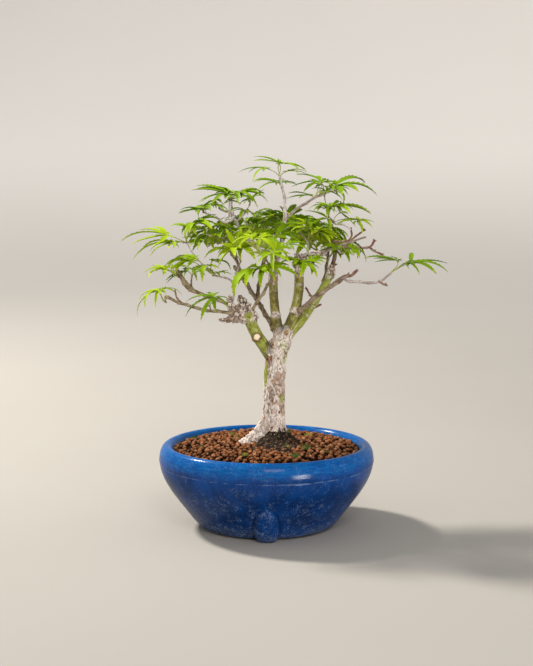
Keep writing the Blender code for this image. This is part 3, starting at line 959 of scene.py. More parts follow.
def make_humus():
    """Black crumbly humus on the roots, highest against the trunk."""
    sides, rings = 96, 40
    angles = spread_evenly(sides)
    edge = 1 + 0.16 * noise_at(circle(2, angles), 1000, 3)
    points = []
    for share in np.linspace(0.01, 1, rings):
        ring = circle(1, angles)
        ring[:, 0] = HUMUS_MIDDLE[0] + HUMUS_HALF[0] * share * edge * ring[:, 0]
        ring[:, 1] = HUMUS_MIDDLE[1] + HUMUS_HALF[1] * share * edge * ring[:, 1]
        gone = np.hypot(ring[:, 0] - TRUNK_FOOT[0], ring[:, 1] - TRUNK_FOOT[1]) - TRUNK_RADII[0]
        bank = HUMUS_BANK * np.exp(-np.maximum(gone, 0) / (7 * MM)) * (1 - share**4)
        crumbs = noise_at(ring, 3.2, 21, 4) * 1.7 * MM
        crumbs = crumbs + noise_at(ring, 9, 22, 2) * 1.6 * MM
        top = soil_height(np.hypot(ring[:, 0], ring[:, 1])) + bank
        ring[:, 2] = top + 2.6 * MM * (1 - share**3) - 2.0 * MM * share**6 + crumbs
        points.append(ring)
    heap = Heap()
    heap.add(np.concatenate(points), ends(rings, sides) + bands(rings, sides))
    soft = make_humus_finish()
    crumbs = make_plain("humus_crumbs", (0.15, 0.075, 0.040), 0.9, 2, 0.2)
    ground = heap.mesh("humus_ground", [])
    lengths = {"Spacing": 4.6, "Smallest": 1.4, "Largest": 3.6, "Depth": -0.4}
    crumbly = strewn_piece("granules_humus", granule_rule(), ground, crumbs, lengths, 2)
    return [add_piece("humus", heap.mesh("humus", [soft])), crumbly]


# ---------------------------------------------------------------- wood


def heading(azimuth, rise):
    azimuth, rise = radians(azimuth), radians(rise)
    return np.array((cos(rise) * cos(azimuth), cos(rise) * sin(azimuth), sin(rise)))


def arc_path(start, arc, length, steps, lateness=1):
    azimuth, rise, turn, lift = arc
    points = [np.array(start, float)]
    for step in range(steps):
        middle = ((step + 0.5) / steps) ** lateness
        stride = heading(azimuth + turn * middle, rise + lift * middle) * (length / steps)
        points.append(points[-1] + stride)
    return np.array(points)


def trunk_line():
    return arc_path(TRUNK_FOOT, TRUNK_ARC, TRUNK_LENGTH, TRUNK_STEPS, TRUNK_LATENESS)


def place_along(points, fraction):
    reach = fraction * (len(points) - 1)
    step = min(int(reach), len(points) - 2)
    return points[step] + (points[step + 1] - points[step]) * (reach - step)


def limb_paths():
    """Each limb's centre line as the solids have it, sampled about every millimetre."""
    rough = {"trunk": trunk_line()}
    for name, (parent, fraction, arc, length, *_) in LIMBS.items():
        start = place_along(rough[parent], fraction)
        rough[name] = arc_path(start, arc, length * MM, LIMB_STEPS)
    for name, points in CROOKED.items():
        rough[name] = np.array(points) * MM
    return {name: flowing(points, 1 * MM) for name, points in rough.items()}


def root_reach(height, angle):
    spread = 0
    for azimuth, reach, rise, narrow in ROOTS:
        facing = np.maximum(np.cos(angle - radians(azimuth)), 0)
        left = np.clip(1 - height / rise, 0, 1) ** ROOT_TAPER
        spread = spread + reach * facing**narrow * left
    return spread


# Swellings of the trunk and boughs: limb, place along it, azimuth, half size, how proud.
KNOBS = (
    ("trunk", 0.50, 289, 4.4, 0.7),
    ("trunk", 0.82, 240, 3.0, 2.0),
    ("trunk", 0.96, 254, 2.8, 1.9),
    ("trunk", 0.34, 200, 5.0, 0.8),
    ("trunk", 0.66, 20, 5.0, 0.9),
    ("trunk", 0.25, 60, 6.0, 0.9),
    ("trunk", 0.58, 130, 6.0, 1.1),
    ("trunk", 0.90, 330, 4.0, 1.0),
    ("stem_right", 0.09, 285, 3.4, 1.4),
    ("stem_right", 0.38, 310, 3.4, 1.6),
    ("stem_centre", 0.38, 310, 2.6, 1.1),
    ("bough_right", 0.55, 300, 2.4, 1.0),
    ("bough_left", 0.86, 240, 3.0, 1.0),
)
# Wrinkled rings round a bough: limb, place along it, half width, how proud.
COLLARS = (
    ("stem_centre", 0.38, 1.5, 0.8),
    ("stem_centre", 0.72, 0.8, 0.4),
    ("stem_right", 0.14, 3.0, 0.8),
    ("stem_right", 0.40, 1.8, 0.9),
    ("stem_right", 0.75, 1.2, 0.5),
    ("bough_right", 0.44, 1.0, 0.5),
    ("bough_right", 0.97, 3.0, 1.1),
    ("bough_left", 0.88, 1.6, 0.5),
)
# Stains, and dark painted shade: limb, place along it, azimuth, half height, half width, what it is.
STAINS = (
    ("trunk", 0.66, 206, 12.0, 3.2, "green"),
    ("trunk", 0.42, 316, 3.6, 2.4, "green"),
    ("trunk", 0.80, 318, 5.0, 2.2, "green"),
    ("trunk", 0.70, 60, 9.0, 5.0, "green"),
    ("trunk", 0.52, 150, 12.0, 4.0, "green"),
    ("trunk", 0.86, 268, 9.0, 9.0, "pale"),
    ("trunk", 0.97, 262, 6.0, 9.0, "pale"),
    ("trunk", 0.22, 280, 8.0, 9.0, "pale"),
    ("trunk", 0.40, 215, 9.0, 4.0, "pale"),
    ("trunk", 0.45, 100, 12.0, 7.0, "pale"),
    ("stem_right", 0.08, 262, 8.0, 8.0, "pale"),
    ("stem_right", 0.42, 290, 3.0, 5.0, "pale"),
    ("stem_centre", 0.40, 280, 3.0, 5.0, "pale"),
    ("stem_centre", 0.06, 270, 8.0, 7.0, "old"),
    ("stem_centre", 0.26, 300, 9.0, 6.0, "dark"),
    ("stem_centre", 0.60, 330, 12.0, 4.0, "dark"),
    ("bough_left", 0.30, 330, 12.0, 4.5, "dark"),
    ("stem_right", 0.30, 215, 9.0, 3.6, "dark"),
    ("stem_right", 0.62, 340, 16.0, 4.0, "dark"),
    ("trunk", 0.965, 272, 2.8, 3.4, "green"),
    ("trunk", 0.930, 292, 3.0, 3.4, "green"),
    ("trunk", 0.885, 314, 3.4, 3.6, "green"),
)
THICK_TONES = {  # green and tan of each thick limb
    "trunk": (0.0, 0.5),
    "bough_left": (0.95, 0.15),
    "stem_centre": (0.90, 0.85),
    "stem_right": (0.90, 0.60),
    "bough_right": (1.0, 0.10),
}


def limb_radii(name, path):
    """The limb's radius along its path, fuller where a bough leaves its parent."""
    if name == "trunk":
        return np.full(len(path), TRUNK_RADII[0])
    root, tip = LIMBS[name][4] * MM, LIMBS[name][5] * MM
    share = np.linspace(0, 1, len(path))
    along = share * LIMBS[name][3] * MM
    return root + (tip - root) * share + 0.30 * root * np.exp(-along / (1.4 * root))


def trunk_tube(heap):
    path = flowing(trunk_line(), 1.2 * MM)
    path = np.concatenate([path[:1] - UP * 5 * MM, path])
    height = path[:, 2] - TRUNK_FOOT[2]
    share = np.clip(height / TRUNK_LENGTH, 0, 1)
    sides = 72
    angles = spread_evenly(sides)
    base = TRUNK_RADII[0] + (TRUNK_RADII[1] - TRUNK_RADII[0]) * share
    base = base + 1.6 * MM * smooth_step(share, 0.80, 0.97)
    base = base - 4.0 * MM * smooth_step(share, 0.93, 1.0)
    radii = base[:, None] + root_reach(np.maximum(height, 0)[:, None], angles[None, :])
    points, faces, _, _ = tube(path, radii, sides)
    rings = path[:, None, :] + circle(1, angles)[None] * radii[:, :, None]
    points[:-2] = rings.reshape(-1, 3)
    heap.add(points, facing_out(points, faces))


def facing_out(points, faces):
    """A closed shape's faces, turned over if they face inwards."""
    total = 0.0
    for face in faces:
        a, b, c = (points[i] for i in face[:3])
        total += np.dot(a, np.cross(b, c)) * (2 if len(face) == 4 else 1)
    return [face[::-1] for face in faces] if total < 0 else faces


def one_skin(heap, name, voxel, smoothing):
    """The heap's overlapping shapes fused into one even skin."""
    whole = add_piece(name, heap.mesh(name, [], smooth=False))
    remesh = whole.modifiers.new("Skin", "REMESH")
    remesh.mode = "VOXEL"
    remesh.voxel_size = voxel
    if smoothing:
        blend = whole.modifiers.new("Blend", "SMOOTH")
        blend.factor = 0.5
        blend.iterations = smoothing
    return evaluated_mesh(whole)


def thick_wood(paths):
    """Trunk and boughs in one skin, before its relief."""
    heap = Heap()
    trunk_tube(heap)
    for name in BOUGHS:
        path = paths[name]
        points, faces, _, _ = tube(path, limb_radii(name, path), 28)
        heap.add(points, faces)
    return one_skin(heap, "skin", 0.5 * MM, 6)


def read_grain(points, paths, names):
    """For each point: its place in the straightened limb, and how much it belongs to each limb."""
    columns = []
    for index, name in enumerate(names):
        path = paths[name]
        _, side, other = frames_along(path)
        share, owner = np.linspace(0, 1, len(path)), np.full(len(path), index)
        columns.append((path, owner, share, side, other, limb_radii(name, path)))
    centres, owners, shares, sides, others, radii = map(np.concatenate, zip(*columns))
    run = np.array([np.linalg.norm(paths[name][-1] - paths[name][0]) for name in names])
    grain, share = np.empty((len(points), 3)), np.empty(len(points))
    belong = np.empty((len(points), len(names)))
    at_once, apart = 4000, 31
    for start in range(0, len(points), at_once):
        block = slice(start, start + at_once)
        gaps = points[block, None, :] - centres[None]
        depth = np.linalg.norm(gaps, axis=2) - radii[None]
        nearest = np.argmin(depth, axis=1)
        gap = gaps[np.arange(len(gaps)), nearest]
        share[block] = shares[nearest]
        grain[block, 0] = (gap * sides[nearest]).sum(1) + owners[nearest] * apart * MM
        grain[block, 1] = (gap * others[nearest]).sum(1)
        grain[block, 2] = shares[nearest] * run[owners[nearest]]
        for index in range(len(names)):
            mine = depth[:, owners == index].min(axis=1)
            belong[block, index] = np.exp(-(mine - depth.min(axis=1)) / (1.2 * MM))
    return grain, share, belong / belong.sum(1)[:, None]


def spot_on(paths, name, share, azimuth):
    path = paths[name]
    index = min(int(share * (len(path) - 1)), len(path) - 1)
    return path[index] + heading(azimuth, 0) * limb_radii(name, path)[index]


# The pruning cut on the front of the left bough: place along it, azimuth, half size.
CUT = ("bough_left", 0.54, 262, 3.1 * MM)
# The healed scar on the right stem: place along it, azimuth.
SCAR = ("stem_right", 0.12, 268)


class Relief:
    """The bark's marks at each point of the trunk and boughs, and how far each point stands out."""

    def __init__(self, points, paths):
        self.points, self.paths, self.names = points, paths, ("trunk",) + BOUGHS
        self.grain, self.share, self.belong = read_grain(points, paths, self.names)
        self.patchy = noise_at(self.grain, 2.6, 12, 3)
        self.broken = smooth_step(self.patchy, -0.25, 0.15)
        self.push = np.zeros(len(points))
        tones = self.belong @ np.array([THICK_TONES[name] for name in self.names])
        self.marks = {"grain": self.grain, "green": tones[:, 0], "tan": tones[:, 1]}
        for mark in ("crack_and_shade", "pale", "crust", "cut", "moss"):
            self.marks[mark] = np.zeros(len(points))

    def show(self, mark, amount):
        """Brings a mark up to the amount where it is less."""
        self.marks[mark] = np.maximum(self.marks[mark], amount)

    def clear(self, mark, share):
        """Takes a share of a mark away."""
        self.marks[mark] = self.marks[mark] * (1 - share)

    def gap(self, name, where, azimuth):
        """From a spot on a limb's side to each point."""
        return self.points - spot_on(self.paths, name, where, azimuth)

    def drawn(self, along):
        """The grain, with its length shortened, so that patterns on it are drawn out."""
        return self.grain * np.array((1, 1, along))

    def add_knobs(self):
        for name, where, azimuth, size, proud in KNOBS:
            near = np.linalg.norm(self.gap(name, where, azimuth), axis=1) / (size * MM)
            near = near + self.patchy * 0.18
            self.push += proud * MM * bell(near) - 0.45 * proud * MM * bell(near / 0.35)
            self.show("pale", 0.8 * bell((near - 0.7) / 0.3) * self.broken)
            # Painted shade in the crease round each knob's foot
            self.show("crack_and_shade", 0.8 * bell((near - 1.25) / 0.13) * (1 - self.broken))
            self.show("crack_and_shade", 0.7 * bell(near / 0.25))

    def add_collars(self):
        for name, where, width, proud in COLLARS:
            off = (self.share - where) * LIMBS[name][3] / width + self.patchy * 0.9
            mine = smooth_step(self.belong[:, self.names.index(name)], 0.3, 0.6)
            wrinkle = bell(off) * (0.7 + 0.3 * np.cos(off * 8)) * mine
            self.push += proud * MM * wrinkle * (0.5 + 0.5 * self.broken)
            self.show("pale", bell(off * 1.1) * mine * self.broken)
            # Painted shade: a dark line just below each collar
            self.show("crack_and_shade", 0.7 * bell((off + 1.5) / 0.35) * mine * (1 - self.broken))

    def add_stains(self):
        for name, where, azimuth, tall, wide, kind in STAINS:
            gap = self.gap(name, where, azimuth) / MM
            near = (gap[:, 0] ** 2 + gap[:, 1] ** 2) / wide**2 + (gap[:, 2] / tall) ** 2
            amount = smooth_step(np.exp(-near) + self.patchy * 0.35, 0.22, 0.50)
            # The dark ones are painted shade on the stems' shaded sides
            if kind == "dark":
                self.show("crack_and_shade", amount * 0.6)
            elif kind == "green":
                self.show("green", amount)
                self.clear("tan", amount)
            else:
                self.clear("green", amount)
                if kind == "pale":
                    self.show("pale", amount * (0.35 + 0.65 * self.broken))
        # The two upright stems turn to peeling old bark at their upper ends
        for name in ("stem_centre", "stem_right"):
            end = self.belong[:, self.names.index(name)] * smooth_step(self.share, 0.74, 0.92)
            self.clear("green", smooth_step(end + self.patchy * 0.3, 0.3, 0.6))

    def add_bark(self):
        """Fissures, pits, crust and lumps: strong on old bark and faint on green."""
        points, long_grain = self.points, self.drawn(0.30)
        old = np.clip(1 - self.marks["green"], 0, 1)
        gate = smooth_step(noise_at(self.grain, 6, 3, 2), -0.2, 0.2)
        fissure = smooth_step(ridges_at(long_grain, 2.9, 1), 0.88, 0.97) * gate
        thin = smooth_step(ridges_at(long_grain, 1.5, 2), 0.90, 0.98) * (1 - gate) * 0.6
        pits = smooth_step(noise_at(self.drawn(0.7), 1.15, 14), 0.40, 0.55) * 0.45
        openings = np.maximum(np.maximum(fissure, thin), pits)
        # Fissures and pits are darkened: partly the darker inner bark, partly painted shade in the
        # recesses
        self.show("crack_and_shade", old * openings * (1 - 0.65 * self.marks["pale"]))
        flaky = noise_at(self.drawn(0.48), 2.9, 13, 3)
        crust = smooth_step(flaky + noise_at(points, 13, 15) * 0.35, 0.03, 0.16) * old
        lumps = noise_at(points, 11, 6, 2)
        fine = noise_at(long_grain, 0.9, 7, 2)
        self.marks["crust"] = crust
        self.push += old * (flaky * 0.35 + crust * 0.38 + lumps * 0.75 + fine * 0.20) * MM
        self.push += (1 - old) * (flaky * 0.10 + lumps * 0.40 + fine * 0.06) * MM
        self.push -= self.marks["crack_and_shade"] * (0.25 + 0.45 * old) * MM

    def add_cut(self):
        """The pruning cut in its swollen ring, and the healed scar."""
        name, where, azimuth, size = CUT
        facing = unit(heading(azimuth, 16))
        gap = self.gap(name, where, azimuth)
        away = np.linalg.norm(gap - np.outer(gap @ facing, facing), axis=1) / size
        away = away + self.patchy * 0.22
        near = (np.abs(gap @ facing) < 4 * MM) & (away < 2.2)
        ring = bell((away - 1.15) / 0.30) * near
        face = smooth_step(-away, -1.0, -0.82) * near
        self.push = self.push * (1 - face) + face * 0.4 * MM + ring * 1.5 * MM
        self.clear("crack_and_shade", face)
        self.show("crack_and_shade", ring * (0.30 + 0.45 * self.broken))
        scar = np.linalg.norm(self.gap(*SCAR) / MM, axis=1) / 2.4
        self.show("cut", np.clip(1.15 - away, 0, 1) * near)
        self.show("cut", 0.30 * smooth_step(-scar - self.patchy * 0.3, -1.0, -0.7))

    def add_foot(self):
        """Ribs low down, moss round the front of the foot, and the bare pale root on the left."""
        height = (self.points[:, 2] - TRUNK_FOOT[2]) / MM
        angle = np.arctan2(self.points[:, 1] - TRUNK_FOOT[1], self.points[:, 0] - TRUNK_FOOT[0])
        front = smooth_step(np.cos(angle - radians(292)), -0.25, 0.6)
        left = smooth_step(np.cos(angle - radians(192)), 0.72, 0.93)
        left = left * smooth_step(-height, -28, -12)
        moss = front * smooth_step(-height - self.patchy * 5, -17, -7)
        moss = np.clip((moss + smooth_step(-height, -6, -1) * 0.7) * (1 - left), 0, 1)
        ribs = smooth_step(ridges_at(self.drawn(0.2), 2.6, 8), 0.6, 0.95)
        ribs = smooth_step(-height, -22, -4) * ribs * 0.8
        self.show("pale", left * 0.95)
        self.clear("crack_and_shade", moss)
        # The ribs are grooves, darkened with painted shade
        self.show("crack_and_shade", ribs)
        self.marks["moss"] = moss
        self.push += moss * noise_at(self.points, 2.2, 16, 3) * MM - ribs * MM


def make_trunk(paths, material):
    """Trunk and boughs with cracks, lumps, collars, scars and the pruning cut."""
    mesh = thick_wood(paths)
    relief = Relief(points_of(mesh), paths)
    relief.add_knobs()
    relief.add_collars()
    relief.add_stains()
    relief.add_bark()
    relief.add_cut()
    relief.add_foot()
    relief.marks["crack_and_shade"] = np.clip(relief.marks["crack_and_shade"], 0, 1)
    points = relief.points + normals_of(mesh) * relief.push[:, None]
    return reshaped(mesh, "trunk_and_boughs", points, material, relief.marks)


# Limbs that thin by steps: place along it and radius in millimetres, in pairs.
LIMB_SIZES = {
    "branch_upper_right": ((0, 1.4), (0.66, 1.1), (0.72, 1.5), (0.76, 0.6), (1, 0.5)),
    "branch_side_right": ((0, 2.7), (0.16, 2.2), (0.33, 2.5), (0.40, 1.5), (1, 0.8)),
    "branch_crossing": ((0, 2.4), (0.85, 1.9), (0.96, 2.7), (1, 2.3)),
    "branch_left_high": ((0, 1.9), (0.58, 1.4), (0.68, 2.0), (0.76, 2.6), (1, 2.0)),
    "branch_left_low": ((0, 1.8), (0.4, 1.45), (0.9, 1.35), (1, 1.6)),
}
# Limbs with sharp bends, by the points they pass through.
CROOKED = {
    "branch_far_right": (
        (70, -26, 237), (75, -26, 233), (88, -27, 232.2), (100, -28, 232),
        (106, -28, 234.5), (110, -28, 238), (113, -28, 240.5),
    ),
    "branch_left_high": (
        (-18, -9, 203), (-30, -7, 208), (-42, -5, 212), (-54, -2, 216), (-63, 1, 219.5),
        (-69, 3, 221.5), (-73, 4, 225), (-78, 6, 232), (-83, 8, 239),
    ),
}
# Leafless twigs: tone, root and tip radius, then the points they pass through, in millimetres.
BARE = (
    (0.62, 1.25, 1.0, ((67.6, 2, 263.2), (82, 2, 261.4), (95.4, 2, 262.2), (99.8, 2, 267.8))),
    (0.55, 0.95, 0.8, ((95.0, 2, 262.2), (100, 1, 258.4), (107.2, 0, 255.4))),
    (0.35, 1.30, 0.8, ((58, 2, 266.3), (76, 4, 267.8), (83, 5, 272), (90.7, 6, 277.7))),
    (0.50, 0.90, 0.8, ((76, 4, 268), (79, 3, 273), (78, 3, 279))),
    (0.45, 1.50, 1.3, ((71, -26, 237.5), (77, -26, 238.0), (81.4, -26, 242.0))),
    (0.55, 1.00, 0.8, ((103, -28, 232.8), (106, -28, 230.6), (109, -28, 229.7))),
    (0.50, 1.90, 1.3, ((61.3, 17, 239), (63.5, 18, 249), (66, 20, 259))),
    (0.45, 1.00, 0.8, ((45.5, 13, 204.5), (50.4, 14, 207.0))),
    (0.55, 1.10, 0.8, ((42.4, 10, 215), (39.5, 8, 219), (37.2, 6, 223.5))),
    (0.75, 1.10, 0.7, ((-30, -10, 219), (-30, -10, 225.5), (-34, -10, 233), (-48.6, -10, 237))),
    (0.40, 0.90, 0.7, ((-78, -24, 213.5), (-81.5, -25, 217), (-83.5, -25, 224))),
    (1.00, 1.50, 1.2, ((-34, 8, 287), (-34, 4, 296), (-33, 2, 305))),
    (0.85, 1.30, 0.8, ((-38, 8, 285), (-48, 6, 290), (-58, 4, 294))),
    (0.80, 0.90, 0.7, ((-28, 10, 286), (-22, 8, 291), (-17, 6, 296))),
)


# How far round the shoot each node is from the one before it, in radians.
NODE_TURN = 2.4
LIMB_SIDES, TWIG_SIDES, SHOOT_SIDES = 10, 8, 7


def grow_wood(
    heap, path, sizes, tone, rng, sides=LIMB_SIDES, internode=9 * MM, zigzag=0.75 * MM, red=0.0
):
    """A thin shoot with a kink, a swelling and a tan ring at every node along it."""
    steps = np.linalg.norm(np.diff(path, axis=0), axis=1)
    along = np.concatenate([[0], np.cumsum(steps)])
    length = along[-1]
    ahead, side, other = frames_along(path)
    count = max(int(length / internode), 1)
    spots = (np.arange(count) + 0.75 + rng.uniform(-0.12, 0.12, count)) * length / count
    spots = spots[spots < length - 1.5 * MM]
    ring = np.zeros(len(path))
    drift = np.zeros((len(path), 3))
    for k, spot in enumerate(spots):
        ring = np.maximum(ring, bell((along - spot) / (0.9 * MM)))
        way = side[0] * cos(k * NODE_TURN) + other[0] * sin(k * NODE_TURN)
        bend = np.exp(-np.abs(along - spot) / (0.30 * internode))
        drift += np.outer(bend * np.minimum(along, length - along).clip(0, 6 * MM) / (6 * MM), way)
    path = path + drift * min(0.12 * internode, zigzag)
    share = along / length
    places, widths = zip(*sizes)
    radii = np.interp(share, places, widths)
    root, tip = radii[0], radii[-1]
    radii = (radii + 0.4 * root * np.exp(-along / (1.3 * root))) * (1 + 0.30 * ring)
    path = np.concatenate([path, path[-1] + np.outer((0.55, 0.9), ahead[-1]) * tip])
    radii = np.concatenate([radii, (0.8 * tip, 0.35 * tip)])
    share, along = np.append(share, (1, 1)), np.append(along, (length + tip / 2, length + tip))
    ring = np.append(ring, (0, 0))
    points, faces, step_of, angle_of = tube(path, radii, sides)
    rough = noise_at(points, 1.6, 9, 2)
    points = points + (points - path[step_of]) * (rough * 0.16)[:, None]
    local = circle(root, angle_of, along[step_of])
    local[:, 0] += heap.count * 0.37 * MM
    reddened = (0.5 * (red > 0.6) + smooth_step(share[step_of], 0.6, 1.0)) * red
    heap.add(points, faces, grain=local, tone=tone, ring=ring[step_of] * 0.9, tip=reddened)
    if sides < LIMB_SIDES:
        # Twigs and shoots carry a bud at every other node
        for k, spot in enumerate(spots[::2]):
            index = int(np.searchsorted(along, spot))
            turn = k * NODE_TURN + 1
            way = unit(side[0] * cos(turn) + other[0] * sin(turn) + ahead[index] * 0.8)
            add_bud(heap, path[index] + way * radii[index] * 0.5, way, radii[index] * 1.6)
    return path[:-2], radii[:-2]


def add_bud(heap, place, way, size):
    """A small pointed bud or a dead stub's rounded end."""
    profile = ((0.0, 0.55), (0.35, 0.9), (0.7, 0.75), (1.0, 0.45), (1.35, 0.12))
    path = np.array([place + way * size * t for t, _ in profile])
    points, faces, _, _ = tube(path, np.array([size * 0.5 * r for _, r in profile]), 6)
    heap.add(points, faces, grain=points, tone=0.6, ring=0.0, tip=0.8)


def add_knot(heap, place, ahead, size, rng):
    """Crowded buds at the end of a twig."""
    for _ in range(4):
        add_bud(heap, place - ahead * 0.3 * size, unit(ahead + rng.normal(0, 0.55, 3)), size)


def stations_of(path, root, tip, first=0.12):
    """Places along a limb that a side shoot may leave from."""
    ahead, _, _ = frames_along(path)
    found = []
    for index in range(int(len(path) * first), len(path), 2):
        share = index / (len(path) - 1)
        radius = root + (tip - root) * share
        found.append((path[index], ahead[index], radius, index == len(path) - 1))
    return found


def shoot_path(start, ahead, end):
    """A curved path that leaves along its parent and ends turning up to the light."""
    length = np.linalg.norm(end - start)
    way = (end - start) / max(length, 1e-6)
    out, arrive = unit(ahead * 0.55 + way), unit(way + UP * 0.45)
    count = max(int(length / (1.3 * MM)), 5)
    return arc_between(start, out * length, end, arrive * length, count)


def arc_between(start, out, end, arrive, count):
    """A smooth arc with a set heading at each end."""
    t = np.linspace(0, 1, count)[:, None]
    return (
        (2 * t**3 - 3 * t**2 + 1) * start
        + (t**3 - 2 * t**2 + t) * out
        + (-2 * t**3 + 3 * t**2) * end
        + (t**3 - t**2) * arrive
    )


class Wood:
    """The thin wood and every place that a new shoot may leave from."""

    def __init__(self, rng):
        self.rng = rng
        self.heap = Heap()
        self.stations = []

    def add_limb(self, name, path):
        root, tip = (radius * MM for radius in LIMBS[name][4:6])
        sizes = [(share, radius * MM) for share, radius in LIMB_SIZES.get(name, ())]
        sizes = sizes or [(0, root), (1, tip)]
        path, _ = grow_wood(self.heap, path, sizes, LIMBS[name][6], self.rng)
        self.stations += stations_of(path, root, tip)

    def best_start(self, goal):
        """The station that is near the goal and heads for it; ends are liked, going down isn't."""
        best, choice = 1e9, None
        for place, ahead, radius, is_end in self.stations:
            gap = goal - place
            distance = np.linalg.norm(gap)
            facing = (gap @ ahead) / max(distance, 1e-9)
            cost = distance * (1.35 - 0.55 * facing) - (6 * MM if is_end else 0)
            cost -= min(gap[2], 0) * 0.6
            if cost < best:
                best, choice = cost, (place, ahead, radius, distance)
        return choice

    def add_bare(self, tone, root, tip, points):
        """A leafless twig from the nearest wood through its points, with knotted buds at the end."""
        points = np.array(points) * MM
        nearest = min(self.stations, key=lambda station: np.linalg.norm(station[0] - points[0]))
        if np.linalg.norm(nearest[0] - points[0]) > 0.5 * MM:
            points = np.concatenate([[nearest[0]], points])
        path = flowing(points, 1.2 * MM)
        sizes = [(0, root * MM), (1, tip * MM)]
        red = 0.7 if tone < 0.7 else 0.2
        path, _ = grow_wood(
            self.heap, path, sizes, tone, self.rng, TWIG_SIDES, 7 * MM, 0.25 * MM, red
        )
        self.stations += stations_of(path, root * MM, tip * MM, 0.3)
        ahead, _, _ = frames_along(path)
        add_knot(self.heap, path[-1], ahead[-1], tip * 2.0 * MM, self.rng)

    def reach(self, goal):
        """Grows a shoot from the best-placed wood to the goal."""
        place, ahead, radius, distance = self.best_start(goal)
        if distance < 3 * MM:
            return place, ahead
        root = min(radius * 0.85, (0.80 + distance / MM * 0.014) * MM)
        tip = min(0.7 * MM, root * 0.8)
        tone = float(np.clip(self.rng.normal(0.6, 0.22), 0.15, 1.0))
        path, sizes = shoot_path(place, ahead, goal), [(0, root), (1, tip)]
        path, _ = grow_wood(
            self.heap, path, sizes, tone, self.rng, SHOOT_SIDES, 8 * MM, 1.0 * MM, 0.5
        )
        self.stations += stations_of(path, root, tip, 0.3)
        ahead, _, _ = frames_along(path)
        return path[-1], ahead[-1]


# ---------------------------------------------------------------- leaves

# Each lobe's heading, its length as a share of the leaf's, and the rings along it
LOBES = (
    (0, 1.0, 19), (38, 0.88, 19), (-38, 0.88, 19), (79, 0.60, 12), (-79, 0.60, 12), (128, 0.22, 6),
    (-128, 0.22, 6),
)
# Half width of a lobe on broad, slender and thin leaves, as shares of the leaf's length
BROAD, SLIM, THIN = 0.120, 0.078, 0.062
LEAST_HALF_WIDTH = 0.004
LEAF_HALF_THICKNESS = 0.0042
WEB_SLOPE, WEB_END = 0.36, 0.3
# How deep the notches cut, how far the teeth point forward, and where along the lobe they begin
NOTCH, TOOTH_LEAD, TEETH_FROM = 0.72, 0.024, 0.22
FOLD = 0.46
TIP_FROM = 0.78
DROOPS = (18, 38, 58, 80)
LEAVES_EACH = 4
STALK_RADII = np.array((0.62, 0.46, 0.40, 0.38, 0.38, 0.42, 0.55)) * MM


def leaf_shape(rng, droop, widest):
    """A palmate leaf one unit long: its hub at the origin, pointing along +X, top to +Z."""
    points, faces, tips = [], [], []
    for turn, length, count in LOBES:
        stations = np.linspace(0.05, 1, count)
        inner = 1.1 if turn == 0 else 0.8 if abs(turn) < 60 else 0.5
        length = length * rng.uniform(0.72, 1.12)
        turn = radians(turn + rng.uniform(-9, 9))
        wide = widest * rng.uniform(0.85, 1.15) * (0.70 + 0.30 * length)
        sway = radians(rng.uniform(-24, 24))
        rise = radians(rng.uniform(0, 22))
        fall = radians(droop * rng.uniform(0.5, 1.4) * inner)
        twist = rng.uniform(-0.6, 0.6)
        start = len(points)
        place, before = np.zeros(3), 0.0
        points.append(place)
        for k, t in enumerate(stations):
            stride, middle, before = (t - before) * length, (t + before) / 2, t
            pitch, yaw = rise - (fall + rise) * middle**1.35, turn + sway * middle
            way = np.array((cos(pitch) * cos(yaw), cos(pitch) * sin(yaw), sin(pitch)))
            place = place + way * stride
            if k == count - 1:
                points.append(place)
                break
            level = np.array((-sin(yaw), cos(yaw), 0.0))
            across = level * cos(twist * t) + np.cross(way, level) * sin(twist * t)
            over = np.cross(way, across)
            swell = wide * min(sin(pi * t**0.80) ** 0.95 + 0.16 * (1 - t), 1.05)
            half = min(WEB_SLOPE * t * length, swell) if t < WEB_END else swell
            half = max(half * (NOTCH if t > TEETH_FROM and k % 2 else 1.0), LEAST_HALF_WIDTH)
            lead = way * (TOOTH_LEAD * length if t > TEETH_FROM and k % 2 == 0 else 0.0)
            thick = over * (LEAF_HALF_THICKNESS * (1 - 0.75 * t))
            raised = over * (FOLD * half)
            points += [
                place + across * half + raised + lead,
                place + thick,
                place - across * half + raised + lead,
                place - thick,
            ]
        rings, first, long_lobe = count - 1, start + 1, length > 0.5
        faces += [(start, first + (i + 1) % 4, first + i) for i in range(4)]
        tips += [0] * 4
        faces += bands(rings, 4, first, flip=True)
        for station in stations[: rings - 1]:
            tips += [int(station > TIP_FROM and long_lobe)] * 4
        top, end = first + 4 * (rings - 1), first + 4 * rings
        faces += [(top + i, top + (i + 1) % 4, end) for i in range(4)]
        tips += [int(long_lobe)] * 4
    points = np.array(points)
    return points, facing_out(points, faces), np.array(tips)


